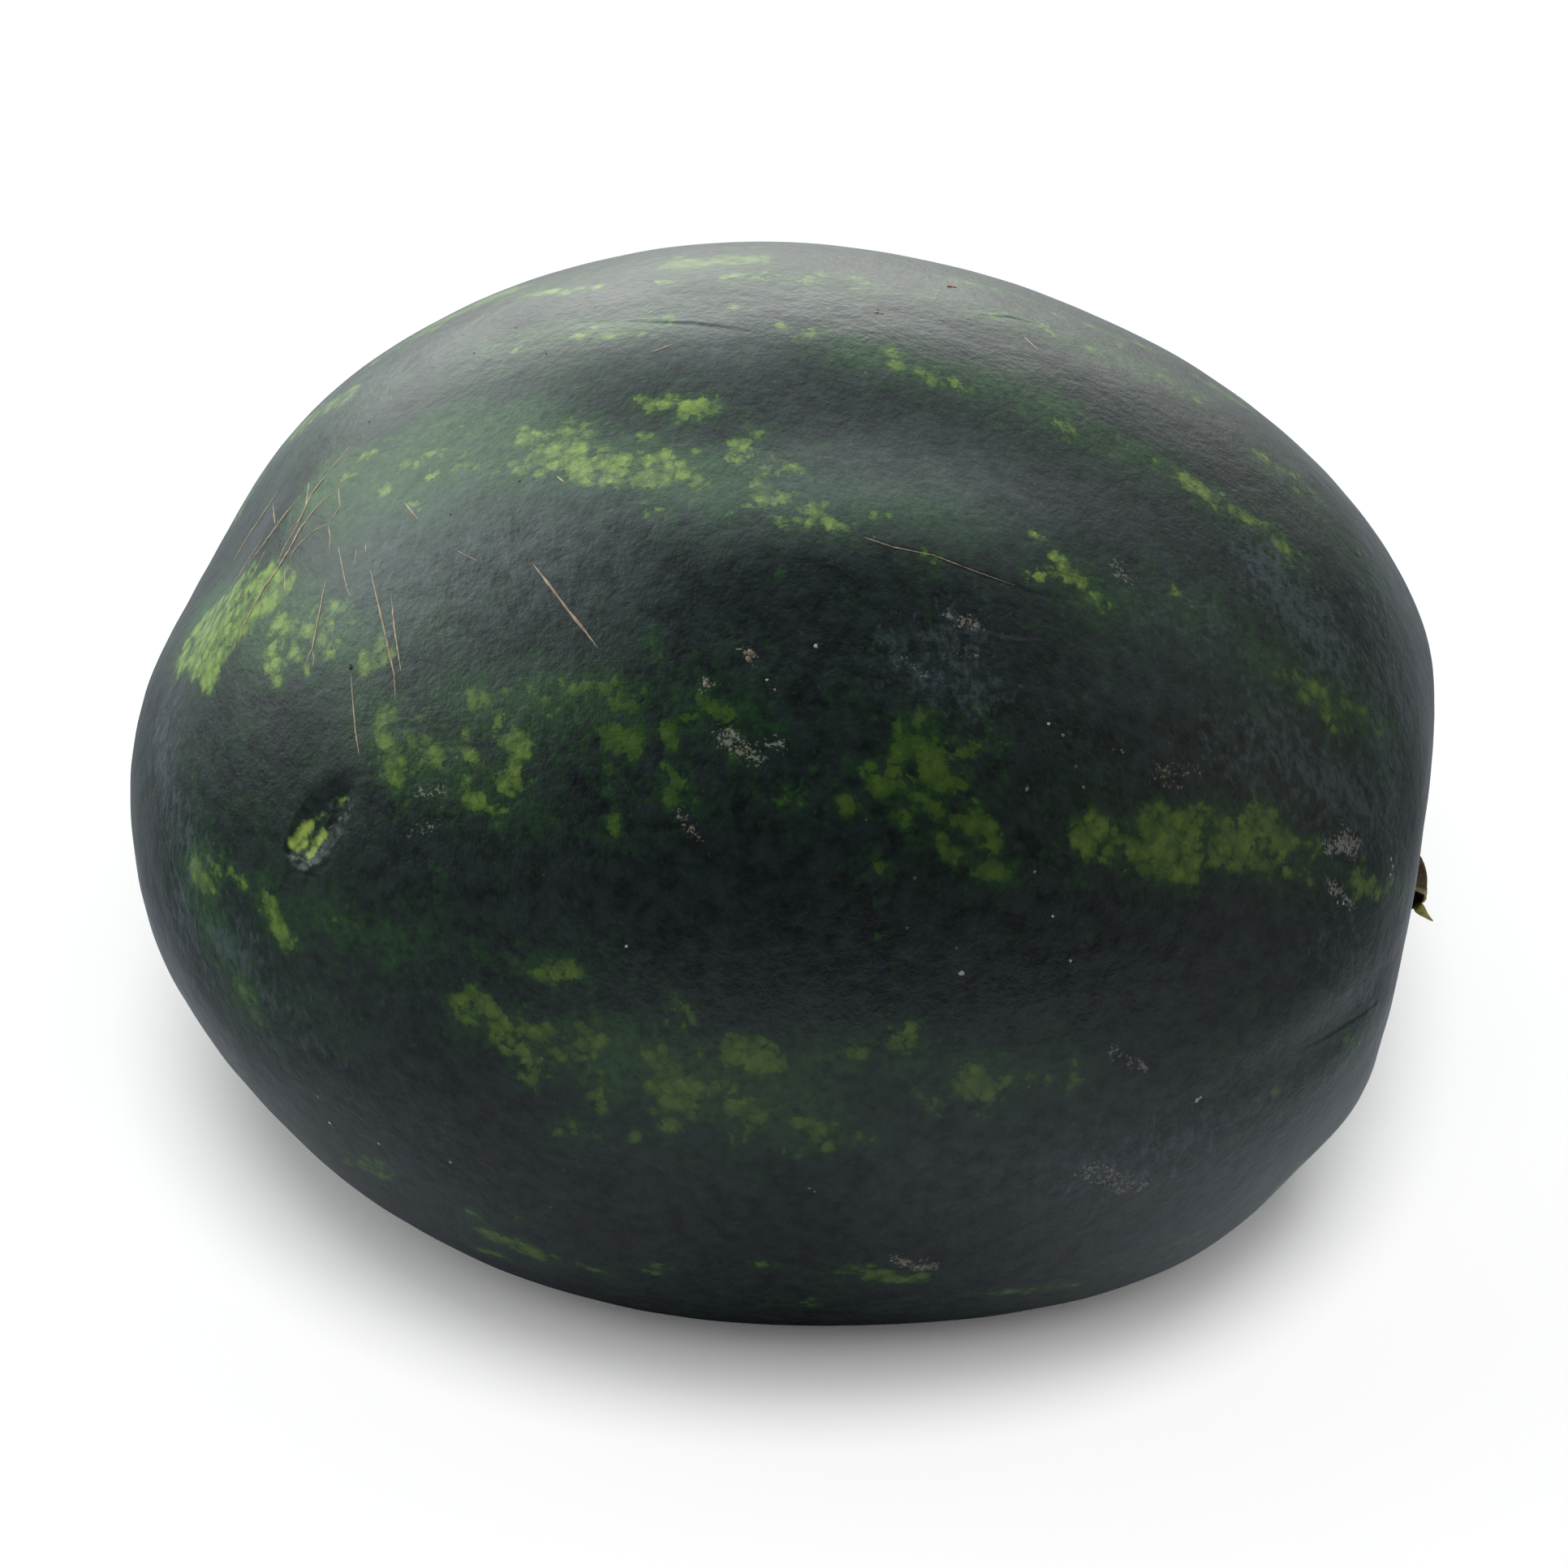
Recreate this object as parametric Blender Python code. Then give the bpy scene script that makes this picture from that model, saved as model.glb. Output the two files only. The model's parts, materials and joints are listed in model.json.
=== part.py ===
"""A whole watermelon lying on its side, as picked, with the dried stub of its stem.

The fruit is one solid: an oval body, blunt at the stem end, with the low swells, the pressed dimple and the
blossom scar of the real one, and a small flat spot where it rests. The stub stands in a shallow socket in
the stem basin. The stem end points along +X, the front faces -Y, and the origin is on the flat spot's level
under the middle of the whole.
"""

from collections import namedtuple
from math import acos, asin, atan2, cos, exp, pi, radians, sin, tan

import bmesh
import bpy
from mathutils import Matrix, Vector

# Driving dimensions of the fruit, in metres. A share is a part of the half length or of the radius.
HALF_LENGTH = 0.1358
GIRTH_RADIUS = 0.1134
SIDE_WIDENING = 1.010
HEIGHT_FLATTENING = 0.985
BLUNTNESS = 0.163
BLUNTNESS_POWER = 2.2
STEM_END_SLANT = 0.075
DROOP = 0.0102
DROOP_PLACE = 0.786
DROOP_REACH = 0.50
REST_SPOT_DEPTH = 0.0016
FACETS_PER_SIDE = 26

# A low swell of the skin, or a hollow where its height is negative. Its place is two angles in degrees:
# polar from the stem end, and turn from straight up towards the front. Then come how far it reaches along
# and around the fruit, and its height.
Swell = namedtuple("Swell", "polar turn reach_along reach_around height")
SWELLS = {
    "crown_ridge": Swell(85, 31, 0.048, 0.012, 0.0016),
    "crown_hollow": Swell(83, 17, 0.055, 0.013, -0.0019),
    "crown_far_ridge": Swell(93, 5, 0.060, 0.012, 0.0010),
    "brow": Swell(117, 28, 0.034, 0.024, 0.0012),
    "cheek_hollow": Swell(151, -4, 0.032, 0.032, -0.0073),
    "chin": Swell(164, 145, 0.026, 0.030, 0.0010),
    "throat_hollow": Swell(142, 145, 0.026, 0.030, -0.0009),
    "belly_furrow": Swell(38, 88, 0.022, 0.007, -0.0016),
    "belly_swell": Swell(26.6, 145, 0.020, 0.030, 0.0033),
    "under_belly_hollow": Swell(38, 142, 0.014, 0.030, -0.0008),
    "stem_basin_front": Swell(17, 145, 0.012, 0.030, -0.0036),
    "stem_shoulder": Swell(15.7, -35, 0.025, 0.025, 0.0034),
    "shaded_side_hollow": Swell(96, 235, 0.060, 0.022, -0.0016),
    "shaded_side_ridge": Swell(75, 290, 0.055, 0.018, 0.0014),
}

# The stem stands off the fruit's end, turned down, in a basin.
STEM_POLAR = radians(7.0)
STEM_TURN = radians(180.0)
BASIN_DEPTH = 0.0082
BASIN_REACH = 0.0375

# The blossom scar: a corky button in a faint hollow, on the other end.
SCAR_POLAR = radians(174.0)
SCAR_TURN = radians(290.0)
SCAR_RADIUS = 0.0042
SCAR_HEIGHT = 0.0007
SCAR_HOLLOW_DEPTH = 0.0012
SCAR_HOLLOW_REACH = 0.012

# The dimple pressed into the cheek, as the ellipsoid that would press it.
DIMPLE_ALONG = -0.656
DIMPLE_TURN = radians(61.0)
DIMPLE_LEAN = radians(42.0)
DIMPLE_HALF_LENGTH = 0.0150
DIMPLE_HALF_WIDTH = 0.0078
DIMPLE_DEPTH = 0.0026
PRESS_HALF_HEIGHT = 0.0042

# The stub of stem: rings given by their height over the skin, their drift down the fruit's end and their
# radius, and the splinter torn from its broken end in the same way.
StemRing = namedtuple("StemRing", "height drift radius")
SOCKET_DEPTH = 0.0018
STEM_RINGS = (
    StemRing(-0.0015, 0.0, 0.0066),
    StemRing(0.0006, 0.0, 0.0062),
    StemRing(0.0022, -0.0002, 0.0051),
    StemRing(0.0045, -0.0006, 0.0044),
    StemRing(0.0071, -0.0004, 0.0040),
    StemRing(0.0090, 0.0013, 0.0037),
    StemRing(0.0101, 0.0037, 0.0031),
    StemRing(0.0105, 0.0063, 0.0026),
    StemRing(0.0109, 0.0084, 0.0023),
)
SPLINTER_RINGS = (
    StemRing(0.0102, 0.0053, 0.0018),
    StemRing(0.0120, 0.0078, 0.0015),
    StemRing(0.0142, 0.0093, 0.0009),
    StemRing(0.0163, 0.0103, 0.0004),
)
STEM_RIBS = 5
RIB_SHARE = 0.13
RIB_OUTLINE_POINTS = 20
CLEARANCE = 0.0003

FRUIT_NAME = "fruit"
STEM_NAME = "stem"


def clear_scene():
    for obj in list(bpy.data.objects):
        bpy.data.objects.remove(obj)


def collection_named(name):
    found = bpy.data.collections.new(name)
    bpy.context.scene.collection.children.link(found)
    return found


def material(name, colour, roughness):
    made = bpy.data.materials.new(name)
    made.use_nodes = True
    shader = made.node_tree.nodes["Principled BSDF"]
    shader.inputs["Base Color"].default_value = (*colour, 1.0)
    shader.inputs["Roughness"].default_value = roughness
    shader.inputs["Metallic"].default_value = 0.0
    return made


def oval_point(polar, turn):
    """Point of the plain oval body. polar is the angle from the stem end, turn the angle round the long axis."""
    along = cos(polar)
    towards_stem = max(along, 0.0)
    radius = GIRTH_RADIUS * sin(polar) * (1 + BLUNTNESS * towards_stem**BLUNTNESS_POWER)
    rise = radius * HEIGHT_FLATTENING * cos(turn)
    return Vector((
        HALF_LENGTH * along + STEM_END_SLANT * rise * towards_stem**2,
        -radius * SIDE_WIDENING * sin(turn),
        rise - DROOP * exp(-(((along - DROOP_PLACE) / DROOP_REACH) ** 2)),
    ))


def oval_normal(polar, turn, step=1e-3):
    """Outward normal of the plain oval, from two short steps over it."""
    polar = min(max(polar, step), pi - step)
    across = oval_point(polar + step, turn) - oval_point(polar - step, turn)
    around = oval_point(polar, turn + step) - oval_point(polar, turn - step)
    return across.cross(around).normalized()


def bell(distance, reach):
    return exp(-((distance / reach) ** 2))


def swell_height(swell, polar, turn):
    """How much one swell lifts the skin at a place."""
    offset_along = HALF_LENGTH * (polar - radians(swell.polar))
    turned = (turn - radians(swell.turn) + pi) % (2 * pi) - pi
    offset_around = GIRTH_RADIUS * sin(polar) * turned
    return swell.height * bell(offset_along, swell.reach_along) * bell(offset_around, swell.reach_around)


def skin_point(polar, turn):
    """Point of the finished skin: the oval with its swells, the stem basin and the hollow of the scar."""
    point = oval_point(polar, turn)
    lift = sum(swell_height(swell, polar, turn) for swell in SWELLS.values())
    from_stem = (point - oval_point(STEM_POLAR, STEM_TURN)).length
    lift -= BASIN_DEPTH * bell(from_stem, BASIN_REACH)
    from_scar = (point - oval_point(SCAR_POLAR, SCAR_TURN)).length
    lift -= SCAR_HOLLOW_DEPTH * bell(from_scar, SCAR_HOLLOW_REACH)
    return point + lift * oval_normal(polar, turn)


def place_on_skin(polar, turn, lean=0.0):
    """Matrix of a place on the skin: Z points out, and X runs towards the stem end, leaning up by lean."""
    step = 1e-3
    to_stem = skin_point(polar - step, turn) - skin_point(polar + step, turn)
    upwards = skin_point(polar, turn - step) - skin_point(polar, turn + step)
    out = to_stem.cross(upwards).normalized()
    long_way = (to_stem.normalized() * cos(lean) + upwards.normalized() * sin(lean)).normalized()
    short_way = out.cross(long_way).normalized()
    turned = Matrix((long_way, short_way, out)).transposed().to_4x4()
    return Matrix.Translation(skin_point(polar, turn)) @ turned


def cut(target, cutter):
    """Cuts the cutter out of the target, as a modifier that stays."""
    modifier = target.modifiers.new("cut_" + cutter.name, "BOOLEAN")
    modifier.operation = "DIFFERENCE"
    modifier.solver = "EXACT"
    modifier.object = cutter


def join(target, other):
    """Adds the other shape to the target, as a modifier that stays."""
    modifier = target.modifiers.new("join_" + other.name, "BOOLEAN")
    modifier.operation = "UNION"
    modifier.solver = "EXACT"
    modifier.object = other


def as_helper(obj, helpers):
    """Puts an object among the cutters and guides, which aren't part of the model."""
    for owner in list(obj.users_collection):
        owner.objects.unlink(obj)
    helpers.objects.link(obj)
    obj.hide_render = True
    obj.display_type = "WIRE"
    return obj


def as_part(obj, name, parts, finish):
    for owner in list(obj.users_collection):
        owner.objects.unlink(obj)
    parts.objects.link(obj)
    obj.name = name
    obj.data.name = name
    obj.data.materials.clear()
    obj.data.materials.append(finish)
    return obj


def make_fruit_body():
    """A cube cut into a grid, blown up into the skin, so that the facets are even all over."""
    bpy.ops.mesh.primitive_cube_add(size=2.0)
    body = bpy.context.object
    grid = bmesh.new()
    grid.from_mesh(body.data)
    bmesh.ops.subdivide_edges(grid, edges=grid.edges[:], cuts=FACETS_PER_SIDE - 1, use_grid_fill=True)
    for vertex in grid.verts:
        direction = Vector([tan(share * pi / 4) for share in vertex.co]).normalized()
        vertex.co = skin_point(acos(direction.x), atan2(-direction.y, direction.z))
    lowest = min(vertex.co.z for vertex in grid.verts)
    rest_level = lowest + REST_SPOT_DEPTH
    sliced = bmesh.ops.bisect_plane(
        grid,
        geom=grid.verts[:] + grid.edges[:] + grid.faces[:],
        plane_co=(0, 0, rest_level),
        plane_no=(0, 0, -1),
        clear_outer=True,
    )
    rim = [item for item in sliced["geom_cut"] if isinstance(item, bmesh.types.BMEdge)]
    bmesh.ops.contextual_create(grid, geom=rim)
    bmesh.ops.recalc_face_normals(grid, faces=grid.faces[:])
    grid.to_mesh(body.data)
    grid.free()
    body.data.shade_smooth()
    body.data.set_sharp_from_angle(angle=radians(35))
    return body, rest_level


def make_dimple_press(helpers):
    """The ellipsoid whose lower cap is the dimple."""
    bpy.ops.mesh.primitive_uv_sphere_add(segments=28, ring_count=18, radius=1.0)
    press = as_helper(bpy.context.object, helpers)
    press.name = "dimple_press"
    # The cap that dips DIMPLE_DEPTH under the skin has the dimple's outline where it crosses the skin.
    lift = PRESS_HALF_HEIGHT - DIMPLE_DEPTH
    widening = 1 / cos(asin(lift / PRESS_HALF_HEIGHT))
    sizes = (DIMPLE_HALF_LENGTH * widening, DIMPLE_HALF_WIDTH * widening, PRESS_HALF_HEIGHT)
    place = place_on_skin(acos(DIMPLE_ALONG), DIMPLE_TURN, DIMPLE_LEAN)
    press.data.transform(place @ Matrix.Translation((0, 0, lift)) @ Matrix.Diagonal((*sizes, 1)))
    return press


def make_scar_button(helpers):
    """The corky button left by the flower: a low cone end that is fused to the skin."""
    sunk = SCAR_RADIUS
    bpy.ops.mesh.primitive_cone_add(
        vertices=20, radius1=SCAR_RADIUS * 1.25, radius2=SCAR_RADIUS * 0.72, depth=SCAR_HEIGHT + sunk
    )
    button = as_helper(bpy.context.object, helpers)
    button.name = "scar_button"
    middle_height = (SCAR_HEIGHT - sunk) / 2
    button.data.transform(place_on_skin(SCAR_POLAR, SCAR_TURN) @ Matrix.Translation((0, 0, middle_height)))
    return button


def make_stem_socket(helpers):
    """The shallow socket that the stub's foot stands in, a clearance wider than the foot."""
    above = 0.004
    bpy.ops.mesh.primitive_cylinder_add(
        vertices=RIB_OUTLINE_POINTS * 2,
        radius=STEM_RINGS[0].radius * (1 + RIB_SHARE) + CLEARANCE,
        depth=SOCKET_DEPTH + above,
    )
    socket = as_helper(bpy.context.object, helpers)
    socket.name = "stem_socket"
    middle_height = (above - SOCKET_DEPTH) / 2
    socket.data.transform(place_on_skin(STEM_POLAR, STEM_TURN) @ Matrix.Translation((0, 0, middle_height)))
    return socket


def make_rib_outline(helpers):
    """The ribbed section of a dry stem, as the outline that its tubes are swept with."""
    outline = bpy.data.curves.new("rib_outline", "CURVE")
    outline.dimensions = "2D"
    spline = outline.splines.new("POLY")
    spline.points.add(RIB_OUTLINE_POINTS - 1)
    spline.use_cyclic_u = True
    for index, point in enumerate(spline.points):
        angle = 2 * pi * index / RIB_OUTLINE_POINTS
        radius = 1 + RIB_SHARE * cos(STEM_RIBS * angle)
        point.co = (radius * cos(angle), radius * sin(angle), 0, 1)
    obj = bpy.data.objects.new("rib_outline", outline)
    bpy.context.scene.collection.objects.link(obj)
    return as_helper(obj, helpers)


def make_ribbed_tube(name, rings, outline, place):
    """A ribbed, tapered tube through rings, as a closed mesh."""
    line = bpy.data.curves.new(name, "CURVE")
    line.dimensions = "3D"
    line.bevel_mode = "OBJECT"
    line.bevel_object = outline
    line.use_fill_caps = True
    spline = line.splines.new("POLY")
    spline.points.add(len(rings) - 1)
    for point, ring in zip(spline.points, rings):
        point.co = (*(place @ Vector((-ring.drift, 0, ring.height))), 1)
        point.radius = ring.radius
    swept = bpy.data.objects.new(name, line)
    bpy.context.scene.collection.objects.link(swept)
    bpy.context.view_layer.update()
    evaluated = swept.evaluated_get(bpy.context.evaluated_depsgraph_get())
    mesh = bpy.data.meshes.new_from_object(evaluated)
    shape = bmesh.new()
    shape.from_mesh(mesh)
    bmesh.ops.remove_doubles(shape, verts=shape.verts[:], dist=1e-6)
    bmesh.ops.recalc_face_normals(shape, faces=shape.faces[:])
    shape.to_mesh(mesh)
    shape.free()
    tube = bpy.data.objects.new(name, mesh)
    tube.matrix_world = swept.matrix_world
    bpy.context.scene.collection.objects.link(tube)
    bpy.data.objects.remove(swept)
    return tube


def make_stem(helpers):
    """The stub: a flared foot, a short stalk bent down the fruit's end and a splinter at its broken end."""
    place = place_on_skin(STEM_POLAR, STEM_TURN)
    outline = make_rib_outline(helpers)
    stalk = make_ribbed_tube("stalk", STEM_RINGS, outline, place)
    splinter = as_helper(make_ribbed_tube("splinter", SPLINTER_RINGS, outline, place), helpers)
    join(stalk, splinter)
    stalk.data.shade_smooth()
    stalk.data.set_sharp_from_angle(angle=radians(40))
    return stalk


def stand_on_origin(parts, helpers, rest_level):
    """Moves all of it so that the flat spot is at height 0 and the origin is under the middle of the whole."""
    bpy.context.view_layer.update()
    graph = bpy.context.evaluated_depsgraph_get()
    corners = []
    for obj in parts.objects:
        mesh = obj.evaluated_get(graph).to_mesh()
        corners += [obj.matrix_world @ vertex.co for vertex in mesh.vertices]
    middle_x = (min(c.x for c in corners) + max(c.x for c in corners)) / 2
    middle_y = (min(c.y for c in corners) + max(c.y for c in corners)) / 2
    for obj in [*parts.objects, *helpers.objects]:
        if obj.type == "MESH":
            obj.data.transform(Matrix.Translation((-middle_x, -middle_y, -rest_level)))


def main():
    clear_scene()
    parts = collection_named("watermelon")
    helpers = collection_named("cutters")
    rind = material("dark_green_rind", (0.020, 0.034, 0.026), 0.42)
    bark = material("dry_stem", (0.16, 0.10, 0.05), 0.85)

    body, rest_level = make_fruit_body()
    fruit = as_part(body, FRUIT_NAME, parts, rind)
    cut(fruit, make_dimple_press(helpers))
    join(fruit, make_scar_button(helpers))
    cut(fruit, make_stem_socket(helpers))

    as_part(make_stem(helpers), STEM_NAME, parts, bark)
    stand_on_origin(parts, helpers, rest_level)


main()
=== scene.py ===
# %% [markdown]
# A whole watermelon on a white surface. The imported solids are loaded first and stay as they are. Each piece
# that follows is a closer look at one of them: the skin with its markings, the dried stub of stem, and the
# scars, scratches and crusts that sit on the skin.

# %% Load the frame
import json
from math import cos, pi, radians, sin

import bpy
import numpy as np
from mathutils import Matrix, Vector, noise

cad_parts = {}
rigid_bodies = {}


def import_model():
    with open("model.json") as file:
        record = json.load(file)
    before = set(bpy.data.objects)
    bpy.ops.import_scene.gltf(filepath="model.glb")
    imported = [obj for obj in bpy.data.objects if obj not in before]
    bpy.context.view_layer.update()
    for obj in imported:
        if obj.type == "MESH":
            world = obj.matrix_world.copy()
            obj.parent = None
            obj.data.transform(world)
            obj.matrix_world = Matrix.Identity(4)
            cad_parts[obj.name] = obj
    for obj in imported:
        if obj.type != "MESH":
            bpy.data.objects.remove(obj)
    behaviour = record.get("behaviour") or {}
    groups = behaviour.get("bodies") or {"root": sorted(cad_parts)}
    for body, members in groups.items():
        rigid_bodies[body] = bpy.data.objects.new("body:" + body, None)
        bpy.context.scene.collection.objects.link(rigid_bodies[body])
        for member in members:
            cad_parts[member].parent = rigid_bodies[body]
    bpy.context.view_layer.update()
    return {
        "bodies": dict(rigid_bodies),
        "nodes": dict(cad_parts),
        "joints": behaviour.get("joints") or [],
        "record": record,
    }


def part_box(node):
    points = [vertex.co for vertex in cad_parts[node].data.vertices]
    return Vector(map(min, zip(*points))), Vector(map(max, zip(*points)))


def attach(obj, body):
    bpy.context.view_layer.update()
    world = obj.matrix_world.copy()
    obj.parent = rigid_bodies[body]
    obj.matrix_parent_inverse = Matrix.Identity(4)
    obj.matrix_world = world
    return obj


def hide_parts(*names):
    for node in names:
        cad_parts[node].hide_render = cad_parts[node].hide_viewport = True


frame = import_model()


# %% [markdown]
# The camera comes first, because many marks are placed by where the photograph shows them. It looks down on
# the fruit's front side with a long lens. A pixel of the picture then stands for a line from the camera, and
# the mark sits where that line meets the skin, so from every other side it lies on the skin too.

# %% Camera
PICTURE_PIXELS = 1932
CAMERA_ELEVATION = radians(35)
CAMERA_DISTANCE = 0.95
CAMERA_TARGET = Vector((-0.0017, 0.0, 0.1099))
FOCAL_PIXELS = 5588

SIGHT = Vector((0, cos(CAMERA_ELEVATION), -sin(CAMERA_ELEVATION)))
PICTURE_UP = Vector((0, sin(CAMERA_ELEVATION), cos(CAMERA_ELEVATION)))
PICTURE_RIGHT = Vector((1, 0, 0))
SENSOR_WIDTH = 36


def link(obj):
    bpy.context.scene.collection.objects.link(obj)


camera_data = bpy.data.cameras.new("camera")
camera_data.sensor_width = SENSOR_WIDTH
camera_data.lens = FOCAL_PIXELS * SENSOR_WIDTH / PICTURE_PIXELS
camera = bpy.data.objects.new("camera", camera_data)
camera.location = CAMERA_TARGET - SIGHT * CAMERA_DISTANCE
camera.rotation_euler = (pi / 2 - CAMERA_ELEVATION, 0, 0)
link(camera)
bpy.context.scene.camera = camera
print("lens:", round(camera_data.lens, 1), "mm")


# %% [markdown]
# The skin's shape is the one the solid has: an oval, blunt at the stem end, lifted and sunk by a few broad
# swells. The same formula is used here on a much finer grid, because a subdivided copy of the solid would
# keep its flat facets.

# %% Shape of the skin
HALF_LENGTH = 0.1358
GIRTH_RADIUS = 0.1134
SIDE_WIDENING = 1.010
HEIGHT_FLATTENING = 0.985
BLUNTNESS = 0.163
BLUNTNESS_POWER = 2.2
STEM_END_SLANT = 0.075
DROOP = 0.0102
DROOP_PLACE = 0.786
DROOP_REACH = 0.50
STEM_PLACE = (radians(7), radians(180))
BASIN_DEPTH = 0.0082
BASIN_REACH = 0.0375
SCAR_PLACE = (radians(174), radians(290))
SCAR_HOLLOW_DEPTH = 0.0012
SCAR_HOLLOW_REACH = 0.012

# Each swell: polar angle from the stem end, turn from the top to the front, reach along and around, height.
SWELLS = {
    "crown_ridge": (85, 31, 0.048, 0.012, 0.0016),
    "crown_hollow": (83, 17, 0.055, 0.013, -0.0019),
    "crown_far_ridge": (93, 5, 0.060, 0.012, 0.0010),
    "brow": (117, 28, 0.034, 0.024, 0.0012),
    "cheek_hollow": (151, -4, 0.032, 0.032, -0.0073),
    "chin": (164, 145, 0.026, 0.030, 0.0010),
    "throat_hollow": (142, 145, 0.026, 0.030, -0.0009),
    "belly_furrow": (38, 88, 0.022, 0.007, -0.0016),
    "belly_swell": (26.6, 145, 0.020, 0.030, 0.0033),
    "under_belly_hollow": (38, 142, 0.014, 0.030, -0.0008),
    "stem_basin_front": (17, 145, 0.012, 0.030, -0.0036),
    "stem_shoulder": (15.7, -35, 0.025, 0.025, 0.0034),
    "shaded_side_hollow": (96, 235, 0.060, 0.022, -0.0016),
    "shaded_side_ridge": (75, 290, 0.055, 0.018, 0.0014),
}


def bell(distance, reach):
    return np.exp(-((distance / reach) ** 2))


def oval(polar, turn):
    along = np.cos(polar)
    to_stem = np.clip(along, 0, None)
    radius = GIRTH_RADIUS * np.sin(polar) * (1 + BLUNTNESS * to_stem**BLUNTNESS_POWER)
    rise = radius * HEIGHT_FLATTENING * np.cos(turn)
    x = HALF_LENGTH * along + STEM_END_SLANT * rise * to_stem**2
    z = rise - DROOP * bell(along - DROOP_PLACE, DROOP_REACH)
    return np.stack([x, -radius * SIDE_WIDENING * np.sin(turn), z], -1)


def oval_normal(polar, turn, step=1e-3):
    polar = np.clip(polar, step, pi - step)
    across = oval(polar + step, turn) - oval(polar - step, turn)
    around = oval(polar, turn + step) - oval(polar, turn - step)
    out = np.cross(across, around)
    return out / np.linalg.norm(out, axis=-1, keepdims=True)


def skin(polar, turn):
    points = oval(polar, turn)
    lift = np.zeros(np.shape(polar))
    for at_polar, at_turn, reach_along, reach_around, height in SWELLS.values():
        offset_along = HALF_LENGTH * (polar - radians(at_polar))
        turned = (turn - radians(at_turn) + pi) % (2 * pi) - pi
        offset_around = GIRTH_RADIUS * np.sin(polar) * turned
        lift = lift + height * bell(offset_along, reach_along) * bell(offset_around, reach_around)
    from_stem = np.linalg.norm(points - oval(*STEM_PLACE), axis=-1)
    from_scar = np.linalg.norm(points - oval(*SCAR_PLACE), axis=-1)
    lift = lift - BASIN_DEPTH * bell(from_stem, BASIN_REACH)
    lift = lift - SCAR_HOLLOW_DEPTH * bell(from_scar, SCAR_HOLLOW_REACH)
    return points + lift[..., None] * oval_normal(polar, turn)


# %% [markdown]
# The fine grid is a cube cut into small squares and blown up: unlike a globe it has no crowded poles, so a
# mark is equally sharp all over. It is then slid to where the solid stands, and what would be under the
# floor is pressed flat, as the fruit's own weight does.

# %% Fine skin
FIRST_CUTS = 3
SECOND_CUTS = 27


def mode(name):
    bpy.ops.object.mode_set(mode=name)


def deselect():
    if bpy.context.object and bpy.context.object.mode != "OBJECT":
        mode("OBJECT")
    bpy.ops.object.select_all(action="DESELECT")


def pick(*objects):
    """Select these objects alone and make the first of them the active one."""
    deselect()
    for obj in objects:
        obj.select_set(True)
    bpy.context.view_layer.objects.active = objects[0]


def vectors(items, name):
    """One row of three numbers for each corner or face."""
    flat = np.empty(len(items) * 3)
    items.foreach_get(name, flat)
    return flat.reshape(-1, 3)


def coordinates(obj):
    return vectors(obj.data.vertices, "co")


def set_coordinates(obj, points):
    obj.data.vertices.foreach_set("co", np.ascontiguousarray(points, dtype=float).ravel())
    obj.data.update()


def store(obj, name, values):
    """Keep one number for each corner, which a material can read by this name."""
    layer = obj.data.attributes.new(name, "FLOAT", "POINT")
    layer.data.foreach_set("value", np.ascontiguousarray(values, dtype=np.float32))


deselect()
bpy.ops.mesh.primitive_cube_add(size=2)
fruit = bpy.context.object
fruit.name = "fruit_skin"
mode("EDIT")
bpy.ops.mesh.select_all(action="SELECT")
bpy.ops.mesh.subdivide(number_cuts=FIRST_CUTS)
bpy.ops.mesh.subdivide(number_cuts=SECOND_CUTS)
mode("OBJECT")

cube = np.tan(coordinates(fruit) * pi / 4)
cube = cube / np.linalg.norm(cube, axis=1, keepdims=True)
blown = skin(np.arccos(np.clip(cube[:, 0], -1, 1)), np.arctan2(-cube[:, 1], cube[:, 2]))
low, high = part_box("fruit")
SHIFT = np.array([low[0] - blown[:, 0].min(), 0, high[2] - blown[:, 2].max()])
set_coordinates(fruit, blown + SHIFT)
print("skin:", len(fruit.data.polygons), "squares, slid by", SHIFT.round(4))


# %% [markdown]
# A pixel becomes a place on the skin by sending a ray from the camera through it. A long mark is followed by
# sending a ray through many pixels along it.

# %% From a pixel to the skin
# A pixel beside the rim is moved inwards in small steps, until its line meets the fruit.
RIM_STEPS = 12
RIM_STEP_SHARE = 0.004
NEARLY_NOTHING = 1e-12


def pixel_direction(x, y):
    right = (x - PICTURE_PIXELS / 2) / FOCAL_PIXELS
    up = (PICTURE_PIXELS / 2 - y) / FOCAL_PIXELS
    return (SIGHT + PICTURE_RIGHT * right + PICTURE_UP * up).normalized()


def on_skin(x, y):
    """The place and the outward direction of the skin at this pixel, or just inside the rim of the fruit."""
    middle = PICTURE_PIXELS / 2
    for inward in range(RIM_STEPS):
        share = 1 - RIM_STEP_SHARE * inward
        shrunk = (middle + (x - middle) * share, middle + (y - middle) * share)
        hit, place, out, _ = fruit.ray_cast(camera.location, pixel_direction(*shrunk))
        if hit:
            return place, out
    raise ValueError(f"pixel {x}, {y} is beside the fruit")


def along_pixels(corners, spacing=6):
    """Places on the skin along a line through these pixels."""
    line = []
    for (x0, y0), (x1, y1) in zip(corners, corners[1:]):
        steps = max(1, round(((x1 - x0) ** 2 + (y1 - y0) ** 2) ** 0.5 / spacing))
        for step in range(steps):
            share = step / steps
            line.append(on_skin(x0 + (x1 - x0) * share, y0 + (y1 - y0) * share)[0])
    line.append(on_skin(*corners[-1])[0])
    return line


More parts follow.
